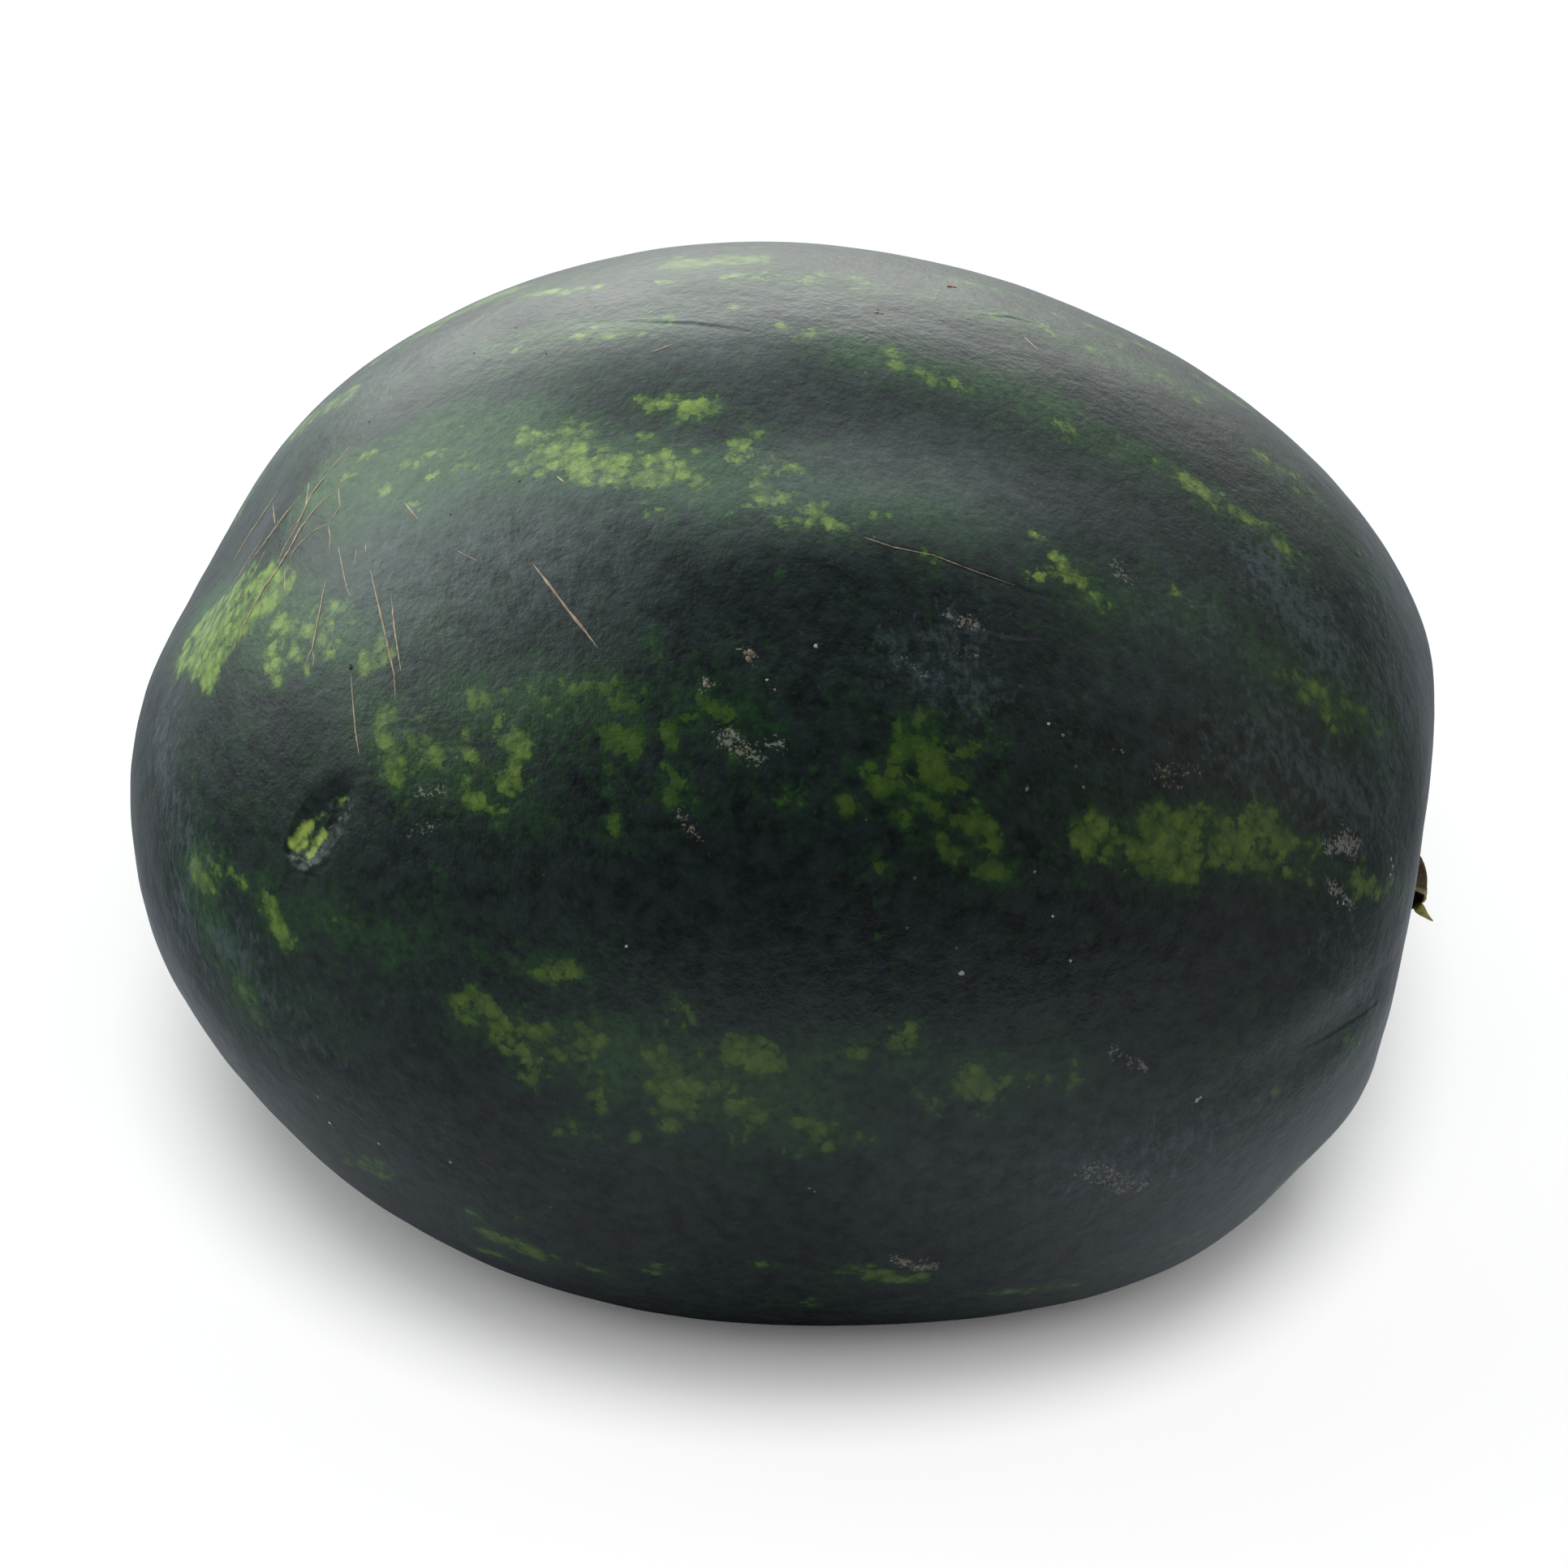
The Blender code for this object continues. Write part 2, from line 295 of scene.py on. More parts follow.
def distance_to_line(points, line):
    """How far each point is from the nearest part of the line, in metres."""
    nearest = np.full(len(points), 1.0)
    for start, end in zip(line, line[1:]):
        a = np.array(start)
        run = np.array(end) - a
        share = np.clip((points - a) @ run / max(run @ run, NEARLY_NOTHING), 0, 1)
        nearest = np.minimum(nearest, np.linalg.norm(points - a - share[:, None] * run, axis=1))
    return nearest


# %% [markdown]
# Growth left a few folds in this skin, and something pressed a dimple into it while it was soft. They need
# a finer grid than the rest, so the squares around them are cut again before the skin is moved there.

# %% Finer squares at the folds and the dimple
DIMPLE_PIXEL = (394, 1014)
DIMPLE_TOP_PIXEL = (429, 971)
# Each fold: the pixels it runs through and the height of its step, in metres.
FOLDS = {
    "upper_fold": ([(755, 395), (800, 396), (850, 397), (900, 403), (948, 411)], 0.00012),
    "middle_fold": ([(1040, 655), (1100, 674), (1150, 684), (1205, 705), (1270, 728), (1345, 742)], 0.00008),
    "right_fold": ([(1200, 386), (1245, 391), (1290, 402)], 0.00008),
    "rim_fold": ([(192, 880), (190, 950), (202, 1030), (228, 1112)], 0.00012),
    "furrow_line": ([(1712, 1222), (1680, 1250), (1640, 1275), (1600, 1297)], 0.00009),
    "far_line": ([(1180, 770), (1240, 785), (1300, 790)], -0.00006),
}
FOLD_SPACING = 14
FINE_REACH = 0.0042
DIMPLE_FINE_REACH = 0.0165

fold_lines = {name: along_pixels(corners, FOLD_SPACING) for name, (corners, _) in FOLDS.items()}
dimple_centre, dimple_out = on_skin(*DIMPLE_PIXEL)
centres = vectors(fruit.data.polygons, "center")
near = np.linalg.norm(centres - np.array(dimple_centre), axis=1) < DIMPLE_FINE_REACH
for line in fold_lines.values():
    near |= distance_to_line(centres, line) < FINE_REACH

mode("EDIT")
bpy.ops.mesh.select_mode(type="FACE")
bpy.ops.mesh.select_all(action="DESELECT")
mode("OBJECT")
fruit.data.polygons.foreach_set("select", near)
mode("EDIT")
bpy.ops.mesh.subdivide(number_cuts=3)
mode("OBJECT")
print("cut again:", int(near.sum()), "squares, now", len(fruit.data.polygons))


# %% [markdown]
# The skin is then moved along its outward direction: shallow uneven lumps all over, a small step at each
# fold, and the dimple as an oval bowl with a steep wall, a lumpy floor and a raised, torn lip. What would
# reach under the floor is pressed flat again.

# %% Move the skin
DIMPLE_HALF_LENGTH = 0.0112
DIMPLE_HALF_WIDTH = 0.0050
DIMPLE_DEPTH = 0.0017
DIMPLE_REACH = 0.022
DIMPLE_LIP_END = 1.9
DIMPLE_GRAIN = 420
DIMPLE_RAGGEDNESS = 0.13
WALL_PLACE = 0.84
WALL_WIDTH = 0.13
FINE_FLOOR_LUMPS = 0.00022
BROAD_FLOOR_LUMPS = 0.00025
LIP_HEIGHT = 0.00028
LIP_PLACE = 1.03
LIP_WIDTH = 0.09
LUMPS = [(24, 0.00030), (62, 0.00020), (150, 0.00011)]
LUMP_STRETCH = 0.6
FOLD_REACH = 0.009
FOLD_SLOPE = 0.0022
FOLD_TURN = 0.00028
FOLD_CREST = 0.0003
GROOVE_SHARE = 0.6
GROOVE_PLACE = 0.0004
GROOVE_WIDTH = 0.00035

points = coordinates(fruit)
out = vectors(fruit.data.vertices, "normal")
lift = np.zeros(len(points))
for scale, height in LUMPS:
    stretched = [Vector((p[0] * LUMP_STRETCH, p[1], p[2])) * scale for p in points]
    lift += height * np.array([noise.noise(p) for p in stretched])

for name, line in fold_lines.items():
    step = FOLDS[name][1]
    line = np.array(line)
    away = distance_to_line(points, line)
    close = np.where(away < FOLD_REACH)[0]
    for index in close:
        nearest = int(np.argmin(np.linalg.norm(line - points[index], axis=1)))
        run = line[min(nearest + 1, len(line) - 1)] - line[max(nearest - 1, 0)]
        side = np.cross(out[index], run) @ (points[index] - line[nearest])
        side = side / max(np.linalg.norm(run), 1e-9)
        end_fade = min(1.0, 2.5 * min(nearest + 0.3, len(line) - 1 - nearest + 0.3) / len(line))
        fall = np.exp(-max(abs(side) - FOLD_CREST, 0) / FOLD_SLOPE)
        lift[index] += step * end_fade * fall * np.tanh(side / FOLD_TURN)
        groove = np.exp(-((side + GROOVE_PLACE) / GROOVE_WIDTH) ** 2)
        lift[index] -= GROOVE_SHARE * step * end_fade * groove

dimple_top, _ = on_skin(*DIMPLE_TOP_PIXEL)
dimple_out = np.array(dimple_out)
long_way = np.array(dimple_top - dimple_centre)
long_way -= dimple_out * (long_way @ dimple_out)
long_way /= np.linalg.norm(long_way)
short_way = np.cross(dimple_out, long_way)
offset = points - np.array(dimple_centre)
dimple_u = offset @ long_way / DIMPLE_HALF_LENGTH
dimple_v = offset @ short_way / (DIMPLE_HALF_WIDTH * (1 - 0.22 * np.clip(dimple_u, -1, 1)))
dimple_r = np.sqrt(dimple_u**2 + dimple_v**2)
dimple_near = (np.linalg.norm(offset, axis=1) < DIMPLE_REACH) & (dimple_r < DIMPLE_LIP_END)
for index in np.where(dimple_near)[0]:
    p = Vector(points[index]) * DIMPLE_GRAIN
    ragged = dimple_r[index] + DIMPLE_RAGGEDNESS * noise.noise(p)
    wall = 1 / (1 + np.exp((ragged - WALL_PLACE) / WALL_WIDTH))
    floor_lumps = FINE_FLOOR_LUMPS * noise.noise(p * 1.6) + BROAD_FLOOR_LUMPS * noise.noise(p * 0.6)
    lip = LIP_HEIGHT * np.exp(-(((ragged - LIP_PLACE) / LIP_WIDTH) ** 2))
    lower_side = 0.5 - 0.5 * dimple_u[index] / max(dimple_r[index], 0.1)
    lift[index] += -DIMPLE_DEPTH * wall * (0.86 + 0.14 * lower_side) + floor_lumps * wall + lip * lower_side

points = points + out * lift[:, None]
points[:, 2] = np.maximum(points[:, 2], 0.0)
set_coordinates(fruit, points)
pick(fruit)
bpy.ops.object.shade_smooth()
print("lift from", lift.min().round(5), "to", lift.max().round(5))


# %% [markdown]
# The markings are strokes, as a painter would dab them: each runs between two pixels of the photograph and
# has a half width in millimetres and a strength. The skin keeps, at every corner of its grid, how deep it
# lies in the nearest stroke. The material later breaks that up into ragged blotches. A table keeps the
# strokes of one part of the skin together. A stroke is its first pixel, how far it runs right and down from
# there, its half width and its strength.

# %% Strokes of the light blotches
LEFT_SHOULDER = [
    (262, 800, 34, -35, 5, 1), (300, 752, 30, -17, 5, 1), (296, 618, 22, -26, 3.4, 0.95),
    (362, 530, 68, -44, 3.6, 1), (240, 790, 56, -52, 7.4, 1.02), (246, 792, 16, 23, 6, 1.1),
    (272, 760, 12, 26, 5, 1.05), (268, 762, 67, -46, 4.6, 1), (300, 727, 45, -5, 4.5, 1),
    (235, 813, 17, 9, 3, 0.9), (332, 802, 13, 26, 3, 0.9), (345, 778, 27, 14, 4.2, 1),
    (362, 792, 50, -4, 3.2, 1), (372, 755, 18, -5, 1.8, 0.9), (402, 762, 28, -7, 3.3, 1),
    (408, 776, 24, -10, 2.6, 0.9), (440, 764, 6, 6, 2, 0.9), (448, 816, 26, -8, 2.4, 1),
    (376, 822, 4, 6, 2, 0.8), (470, 790, 10, -10, 1.5, 0.8),
]
CROWN = [
    (428, 588, 12, -4, 2, 0.85), (452, 560, 18, -4, 2.4, 0.9), (470, 600, 16, 12, 2.2, 0.85),
    (500, 575, 12, -5, 2, 0.85), (530, 560, 18, -8, 1.8, 0.8), (545, 535, 20, -7, 2, 0.85),
    (498, 552, 22, 0, 2, 0.8), (530, 590, 6, 2, 1.8, 0.8), (572, 568, 20, 4, 2, 0.85),
    (620, 540, 20, -4, 1.8, 0.85), (640, 548, 64, -13, 3.8, 1), (690, 525, 32, 20, 2.8, 1),
    (650, 572, 50, -10, 4.2, 1.05), (612, 585, 18, 3, 1.8, 0.85), (722, 580, 70, 10, 4, 1),
    (742, 566, 40, 6, 3.6, 1), (720, 560, 15, 5, 2, 0.9), (795, 582, 13, 14, 2.4, 0.95),
    (818, 565, 14, 5, 2.8, 1), (848, 560, 24, -5, 2, 0.85), (843, 580, 19, 12, 2.6, 0.9),
    (796, 500, 36, -6, 2.4, 0.85), (850, 504, 24, -4, 3.2, 1), (846, 515, 14, 3, 1.8, 0.85),
    (785, 545, 15, -7, 1.6, 0.8), (908, 560, 24, 18, 4, 1), (918, 545, 18, -5, 2, 0.85),
    (948, 568, 14, 8, 2.6, 0.9), (968, 580, 28, 10, 2.2, 0.85), (788, 620, 28, 10, 2.3, 0.9),
    (900, 620, 16, 6, 1.8, 0.8), (935, 604, 19, 18, 3.6, 1), (964, 610, 12, 0, 2.2, 0.9),
    (974, 642, 28, -12, 3.2, 1), (1018, 645, 24, 7, 2.4, 0.9), (1078, 632, 24, -6, 2, 0.8),
    (1128, 622, 12, -6, 1.8, 0.75), (1154, 622, 16, -6, 2.2, 0.8), (1140, 683, 10, 5, 1.6, 0.8),
    (500, 622, 22, 10, 1.8, 0.8), (1268, 655, 24, 5, 1.8, 0.8), (1268, 702, 24, 3, 1.8, 0.8),
    (1300, 690, 12, 5, 2, 0.85), (1314, 706, 12, 6, 2.8, 0.95), (1350, 736, 12, 10, 2.6, 0.85),
    (1398, 755, 8, 11, 1.6, 0.75), (1440, 725, 12, 11, 1.6, 0.75), (1470, 750, 16, 6, 1.6, 0.7),
]
TOP_STRIPES = [
    (618, 436, 24, -6, 1.8, 0.8), (690, 416, 72, -12, 2, 0.72), (740, 412, 50, 2, 2, 0.75),
    (948, 404, 14, -4, 1.8, 0.8), (988, 415, 16, -5, 1.8, 0.75), (1038, 430, 16, 6, 1.8, 0.75),
    (1096, 434, 16, 16, 2.6, 0.9), (1112, 452, 30, 4, 2.4, 0.9), (1150, 470, 42, 12, 3, 0.95),
    (1150, 455, 18, 4, 1.8, 0.8), (1265, 512, 17, 10, 1.6, 0.75), (1300, 524, 14, 8, 3, 0.95),
    (1338, 510, 14, 6, 1.4, 0.7), (1378, 540, 14, 8, 2.6, 0.9), (1398, 548, 14, 8, 1.6, 0.8),
    (1418, 560, 14, 12, 2.4, 0.9), (1460, 588, 28, 24, 3.2, 1), (1500, 604, 12, 10, 1.6, 0.8),
    (1520, 624, 26, 18, 2.8, 0.95), (1550, 635, 22, 17, 2.4, 0.85), (1570, 664, 22, 18, 2, 0.8),
    (615, 372, 85, -14, 2.6, 0.9), (695, 358, 65, -8, 2.2, 0.8), (790, 348, 70, -4, 1.8, 0.7),
    (900, 341, 92, 4, 2.6, 0.9), (1000, 338, 62, 7, 2.2, 0.85), (1060, 355, 44, -3, 2, 0.8),
    (790, 386, 42, 8, 1.6, 0.7), (850, 371, 50, 7, 1.6, 0.7), (1218, 385, 24, 1, 1.6, 0.75),
    (1280, 396, 20, 16, 2.4, 0.9), (1348, 430, 36, 10, 2.4, 0.85), (1398, 444, 34, 12, 2.2, 0.8),
    (1438, 468, 34, 24, 2.4, 0.85), (1552, 560, 50, 40, 2, 0.75), (1590, 574, 12, 16, 1.6, 0.85),
    (1600, 592, 28, 24, 2.2, 0.95), (1662, 668, 20, 20, 1.8, 0.85), (1674, 684, 24, 28, 2, 0.9),
    (930, 304, 72, -2, 1.8, 0.7),
]
MIDDLE_LEFT = [
    (474, 872, 10, 33, 2.5, 0.9), (474, 908, 16, 47, 3.8, 1), (480, 962, 18, 16, 1.3, 0.8),
    (505, 908, 15, 24, 2.6, 1), (528, 925, 14, 10, 3, 1), (515, 882, 15, -7, 1.6, 0.8),
    (580, 858, 10, 10, 2.6, 0.9), (574, 870, 6, 10, 2, 0.8), (576, 900, -6, 15, 2, 0.8),
    (568, 925, 22, 15, 2.6, 0.9), (610, 888, 20, 42, 4, 1), (622, 900, 18, 15, 3, 1),
    (615, 950, 11, 22, 3, 0.95), (630, 965, 12, 7, 1.8, 0.8), (574, 975, 16, 17, 2.8, 0.9),
    (590, 992, 22, 10, 2.4, 0.9), (620, 850, 48, -5, 1.6, 0.8), (664, 858, 12, 10, 2.6, 0.9),
    (690, 845, 10, -3, 1.5, 0.8), (238, 1062, 12, 26, 3.4, 1.1), (258, 1058, 10, 14, 2.6, 1),
    (258, 1090, 6, 8, 2.2, 0.95), (284, 1078, 14, 8, 2.2, 0.9), (330, 1112, 14, 20, 3, 1),
    (342, 1138, 10, 18, 3.8, 1.05), (414, 1130, 6, 12, 1.3, 0.75),
]
MIDDLE = [
    (704, 842, 41, 3, 2.2, 0.85), (735, 895, -7, 10, 1.5, 0.8), (765, 840, 27, 6, 2.8, 0.95),
    (764, 856, 18, 6, 3, 0.95), (802, 786, 8, 26, 2.2, 0.9), (755, 820, 2, 6, 1.5, 0.8),
    (855, 876, 17, -4, 2.8, 0.95), (880, 880, 12, 6, 1.5, 0.75), (755, 904, 27, 8, 3.6, 1),
    (766, 922, 16, 4, 2.2, 0.9), (820, 900, 6, 18, 2.8, 0.95), (850, 936, 5, 16, 1.8, 0.8),
    (820, 952, 6, 18, 2.8, 0.95), (828, 976, 10, 10, 2.4, 0.9), (842, 962, 10, 18, 1.5, 0.8),
    (746, 944, 4, 11, 2.2, 0.85), (755, 1015, 5, 11, 2.2, 0.9), (902, 910, 23, 20, 2.2, 0.75),
    (935, 980, 5, 6, 2.2, 0.85), (968, 978, 18, 12, 2.5, 0.9), (1038, 990, 4, 2, 1.8, 0.8),
]
MIDDLE_BLOCK = [
    (1114, 890, 26, -10, 3.4, 1), (1120, 920, 32, 10, 6.5, 1.1), (1060, 940, 24, 6, 3, 1),
    (1084, 962, 20, 6, 4.6, 1.05), (1108, 960, 18, 30, 4.6, 1.05), (1148, 948, 28, 18, 5.6, 1.1),
    (1176, 918, 16, 8, 3.8, 1), (1200, 926, 32, -10, 3, 1), (1188, 898, 8, -26, 2.3, 0.9),
    (1200, 868, 8, 12, 2.2, 0.9), (1138, 986, 18, 14, 4, 1), (1110, 1008, 12, 8, 3.2, 1),
    (1168, 1010, 8, 6, 2.4, 0.9), (1158, 1028, 6, 6, 2.4, 0.9), (1188, 1014, 24, 28, 3, 1),
    (1206, 1008, 20, 32, 3.2, 1), (1168, 1052, 10, 10, 2.8, 0.95), (1188, 1060, 24, 6, 2.4, 0.9),
    (1212, 1070, 24, 10, 4, 1.05), (1238, 944, 14, 12, 1.6, 0.8), (1076, 1052, 4, 10, 2.2, 0.85),
]
RIGHT_STRIPE = [
    (1338, 1028, 8, 18, 3.8, 1.05), (1350, 1024, 22, 26, 4.2, 1.05), (1374, 1036, 28, 10, 4.4, 1.05),
    (1368, 1010, 14, -6, 2.2, 0.9), (1398, 1000, 4, 2, 1.4, 0.7), (1420, 1018, 32, 10, 5.6, 1.1),
    (1430, 1050, 32, 10, 5.6, 1.1), (1460, 1018, 42, 2, 4.6, 1.1), (1448, 1072, 14, 4, 3, 1),
    (1468, 1044, 24, 6, 3.4, 1), (1508, 1040, 44, 2, 4, 1.05), (1542, 1014, 20, -6, 3.8, 1.05),
    (1556, 1030, 28, 10, 4, 1.05), (1504, 1056, 18, 10, 3, 1), (1544, 1060, 18, 6, 3, 1),
    (1548, 984, 14, 8, 1.8, 0.8), (1584, 1058, 6, 14, 2.4, 0.9), (1598, 1034, 24, 12, 2, 0.85),
    (1608, 1078, 6, 6, 2, 0.85), (1668, 1090, 34, 6, 3.4, 0.95), (1678, 1066, 6, 14, 2, 0.85),
    (1714, 1090, 7, 6, 1.6, 0.8), (1540, 800, 20, 12, 1.6, 0.75), (1575, 830, 7, 12, 1.4, 0.75),
    (1600, 840, 32, 12, 2.4, 0.9), (1618, 862, 32, 28, 2.8, 0.9), (1640, 884, 16, 12, 2, 0.85),
    (1656, 864, 26, 12, 2.2, 0.85), (1698, 904, 8, 12, 1.5, 0.8), (1713, 832, 11, 14, 1.2, 0.75),
]
LOWER = [
    (588, 1165, 14, 20, 2, 0.65), (638, 1188, 8, 2, 1.8, 0.7), (668, 1195, 18, 5, 2.6, 0.8),
    (700, 1194, 12, 8, 2.6, 0.85), (580, 1244, 32, 12, 4.4, 1.05), (590, 1262, 12, 4, 2, 0.9),
    (614, 1282, 28, -6, 3.2, 1), (626, 1268, 26, -4, 3, 1), (674, 1274, 14, 18, 3.6, 1.05),
    (690, 1292, 32, 0, 4, 1.05), (718, 1280, 30, 7, 2.6, 0.95), (704, 1260, 18, 2, 2.2, 0.9),
    (662, 1308, -12, 24, 2.8, 0.95), (674, 1302, 4, 10, 1.6, 0.85), (733, 1312, 7, 16, 1.7, 0.8),
    (738, 1345, 4, 15, 1.8, 0.8), (748, 1338, 10, 7, 2.2, 0.85), (628, 1234, 14, 6, 1.6, 0.8),
    (674, 1390, 28, 6, 2, 0.65), (736, 1404, 10, 6, 2.2, 0.7), (768, 1402, 16, 2, 2.4, 0.85),
    (840, 1244, 8, 10, 3, 0.85), (808, 1304, 14, 16, 3.4, 1), (820, 1322, 32, 20, 3.4, 1.05),
    (802, 1338, 10, 7, 2.4, 0.9), (828, 1354, 24, 16, 3.4, 1), (810, 1374, 10, 6, 2, 0.85),
    (826, 1384, 12, 4, 2.6, 0.95), (868, 1364, 20, 22, 1.8, 0.75), (872, 1314, 6, 10, 2.2, 0.85),
    (894, 1290, 5, 22, 2.8, 0.95), (920, 1296, 22, 12, 4, 1.05), (893, 1328, 5, 6, 2, 0.8),
    (908, 1364, 18, 6, 3.6, 1), (905, 1396, 7, 4, 2, 0.85), (984, 1384, 38, 6, 2.7, 0.95),
    (1040, 1378, 6, 24, 2.2, 0.85), (1056, 1394, 16, 4, 1.6, 0.75), (1018, 1410, 4, 6, 2.2, 0.8),
    (978, 1414, 6, 2, 2.2, 0.8), (1104, 1276, 20, 4, 3.6, 0.85), (1070, 1284, 8, 4, 1.8, 0.75),
    (1058, 1294, 4, 4, 1.6, 0.75), (1128, 1338, 6, 6, 1.8, 0.75), (1148, 1352, 6, 8, 2.6, 0.9),
    (1194, 1328, 22, 18, 3.6, 1.02), (1216, 1330, 36, -2, 2, 0.85), (1266, 1324, 8, 4, 1.9, 0.85),
    (1286, 1324, 4, 4, 1.4, 0.8), (1320, 1310, 2, 17, 2, 0.9), (1212, 1364, 6, 6, 2.4, 0.7),
    (1556, 1352, 18, -6, 1.6, 0.65), (1650, 1284, 26, -6, 1.8, 0.7), (434, 1430, 38, 12, 4, 0.6),
    (580, 1494, 10, 4, 1.8, 0.8), (636, 1500, 6, 4, 1.6, 0.75), (608, 1524, 44, 16, 4, 1.1),
    (598, 1542, 24, 6, 2.6, 0.95), (684, 1548, 10, 6, 1.6, 0.7), (718, 1560, 24, 6, 2.2, 0.7),
    (798, 1566, 18, -6, 2.2, 0.75), (926, 1555, 14, 2, 1.8, 0.7), (948, 1602, 54, 4, 2.4, 0.7),
    (1040, 1566, 22, -6, 2.6, 0.85), (1078, 1571, 54, 5, 3.2, 1), (1180, 1596, 82, -6, 2, 0.8),
    (1262, 1590, 88, -10, 2, 0.8), (1440, 1536, 44, -20, 2.4, 0.6), (1598, 1440, 42, -36, 2.2, 0.75),
    (1536, 1496, 62, -52, 2.4, 0.75), (300, 1220, 12, 24, 3.5, 0.55),
]
# Bared flesh in the dimple, and the pale torn rim round it.
DIMPLE_FLESH = [
    (361, 1040, 20, -24, 1.15, 1.2), (367, 1046, 9, -8, 0.8, 1.15), (380, 1054, 20, -28, 0.85, 1.15),
    (386, 1040, 10, -6, 0.7, 1), (390, 1008, 6, -4, 0.5, 0.8), (418, 986, 9, -2, 0.75, 0.72),
]
DIMPLE_RIM = [
    (356, 1055, 16, 4, 0.45, 1), (372, 1059, 11, 6, 0.45, 0.95), (392, 1051, 10, -5, 0.4, 0.8),
    (405, 1021, 15, -13, 0.32, 0.9), (420, 1008, 15, -15, 0.32, 0.9), (412, 1022, 18, -16, 0.25, 0.6),
]


# %% [markdown]
# The other layers are painted in the same way, with wider and mostly weaker strokes. Clouds of plain green
# lie round the blotches. Wax is smeared where the fruit was handled, and soil or sap dried to crusts. A few
# of the wax strokes are painted sheen. Haze is pale bloom and painted sheen: a light grey laid into the
# colour where the skin's shine and the floor's reflection show brighter. Dull places are where the bloom
# scatters the shine.

# %% Strokes of the green clouds, the wax smears, the crusts, the haze and the dull places, with painted sheen in the wax and the haze
GREEN_CLOUDS = [
    (480, 590, 220, -34, 11, 1.1), (700, 560, 200, 40, 9, 1.05), (900, 600, 280, 40, 9, 0.85),
    (520, 540, 120, -20, 9, 1), (400, 600, 120, -10, 12, 0.9), (340, 600, 130, -120, 8, 0.65),
    (420, 640, 120, -20, 10, 0.75), (560, 470, 200, -20, 8, 0.55), (800, 500, 70, 0, 6, 0.7),
    (1190, 650, 140, 50, 8, 0.6), (1330, 740, 170, 20, 9, 0.7), (600, 430, 200, -30, 8, 0.8),
    (1040, 430, 260, 70, 8, 0.85), (1270, 510, 190, 80, 7, 0.85), (1450, 590, 150, 100, 7, 0.8),
    (620, 365, 380, -20, 6, 0.85), (1050, 350, 250, 60, 7, 0.8), (1300, 410, 180, 80, 7, 0.85),
    (1540, 560, 160, 160, 6, 0.7), (250, 760, 110, 0, 12, 0.9), (360, 780, 90, 10, 10, 0.9),
    (530, 770, 30, 30, 4, 0.8), (270, 880, 150, 80, 16, 0.28), (300, 1000, 130, 60, 15, 0.3),
    (225, 900, 35, 100, 9, 0.4), (460, 880, 100, 80, 11, 0.7), (560, 860, 140, 0, 11, 0.75),
    (700, 850, 200, 30, 13, 0.5), (580, 960, 60, 40, 9, 0.6), (740, 920, 120, 60, 11, 0.42),
    (900, 960, 160, 20, 11, 0.35), (1050, 890, 200, 90, 13, 0.36), (1130, 1020, 110, 60, 9, 0.32),
    (1320, 1010, 280, 50, 11, 0.45), (1600, 1060, 130, 35, 8, 0.6), (1540, 800, 160, 100, 9, 0.75),
    (240, 1070, 60, 150, 11, 0.75), (330, 1180, 90, 80, 10, 0.4), (330, 1120, 190, 40, 11, 0.6),
    (450, 1160, 270, 40, 9, 0.5), (580, 1250, 180, 50, 8, 0.75), (740, 1300, 260, 70, 13, 0.82),
    (1000, 1300, 320, 20, 9, 0.7), (700, 1390, 360, 10, 8, 0.65), (1500, 1300, 180, -10, 8, 0.5),
    (1180, 1340, 80, 30, 6, 0.5), (600, 1530, 160, 40, 6, 0.5), (1000, 1570, 160, 10, 6, 0.5),
    (920, 1600, 420, -10, 5, 0.5), (1350, 1570, 280, -160, 5, 0.5),
]
# Wax smears, and a few strokes of painted sheen: the last one, on the upper left, and the one low on the
# right.
WAX_AND_SHEEN_SMEARS = [
    (1560, 700, 80, 100, 9, 0.8), (1700, 900, 20, 110, 7, 0.65), (1620, 820, 80, 40, 7, 0.55),
    (1600, 760, 50, 70, 6, 0.6), (1560, 900, 60, 60, 8, 0.65), (1640, 960, 60, 50, 8, 0.75),
    (1690, 760, 38, 120, 6, 0.65), (1560, 860, 40, 40, 6, 0.55), (200, 900, 40, 160, 8, 0.65),
    (230, 1120, 70, 60, 8, 0.65), (300, 1200, 80, 60, 8, 0.45), (1170, 800, 30, 50, 5, 0.7),
    (1110, 800, 40, 40, 5, 0.65), (1150, 785, 55, -23, 4, 0.7), (1500, 900, 60, 60, 8, 0.45),
    (1350, 1440, 130, -40, 11, 0.45), (1640, 1150, 50, 90, 8, 0.45), (1712, 960, 12, 100, 7, 0.5),
    (1600, 980, 60, 110, 9, 0.38), (1420, 760, 80, 20, 7, 0.5), (480, 690, 140, 30, 14, 0.4),
]
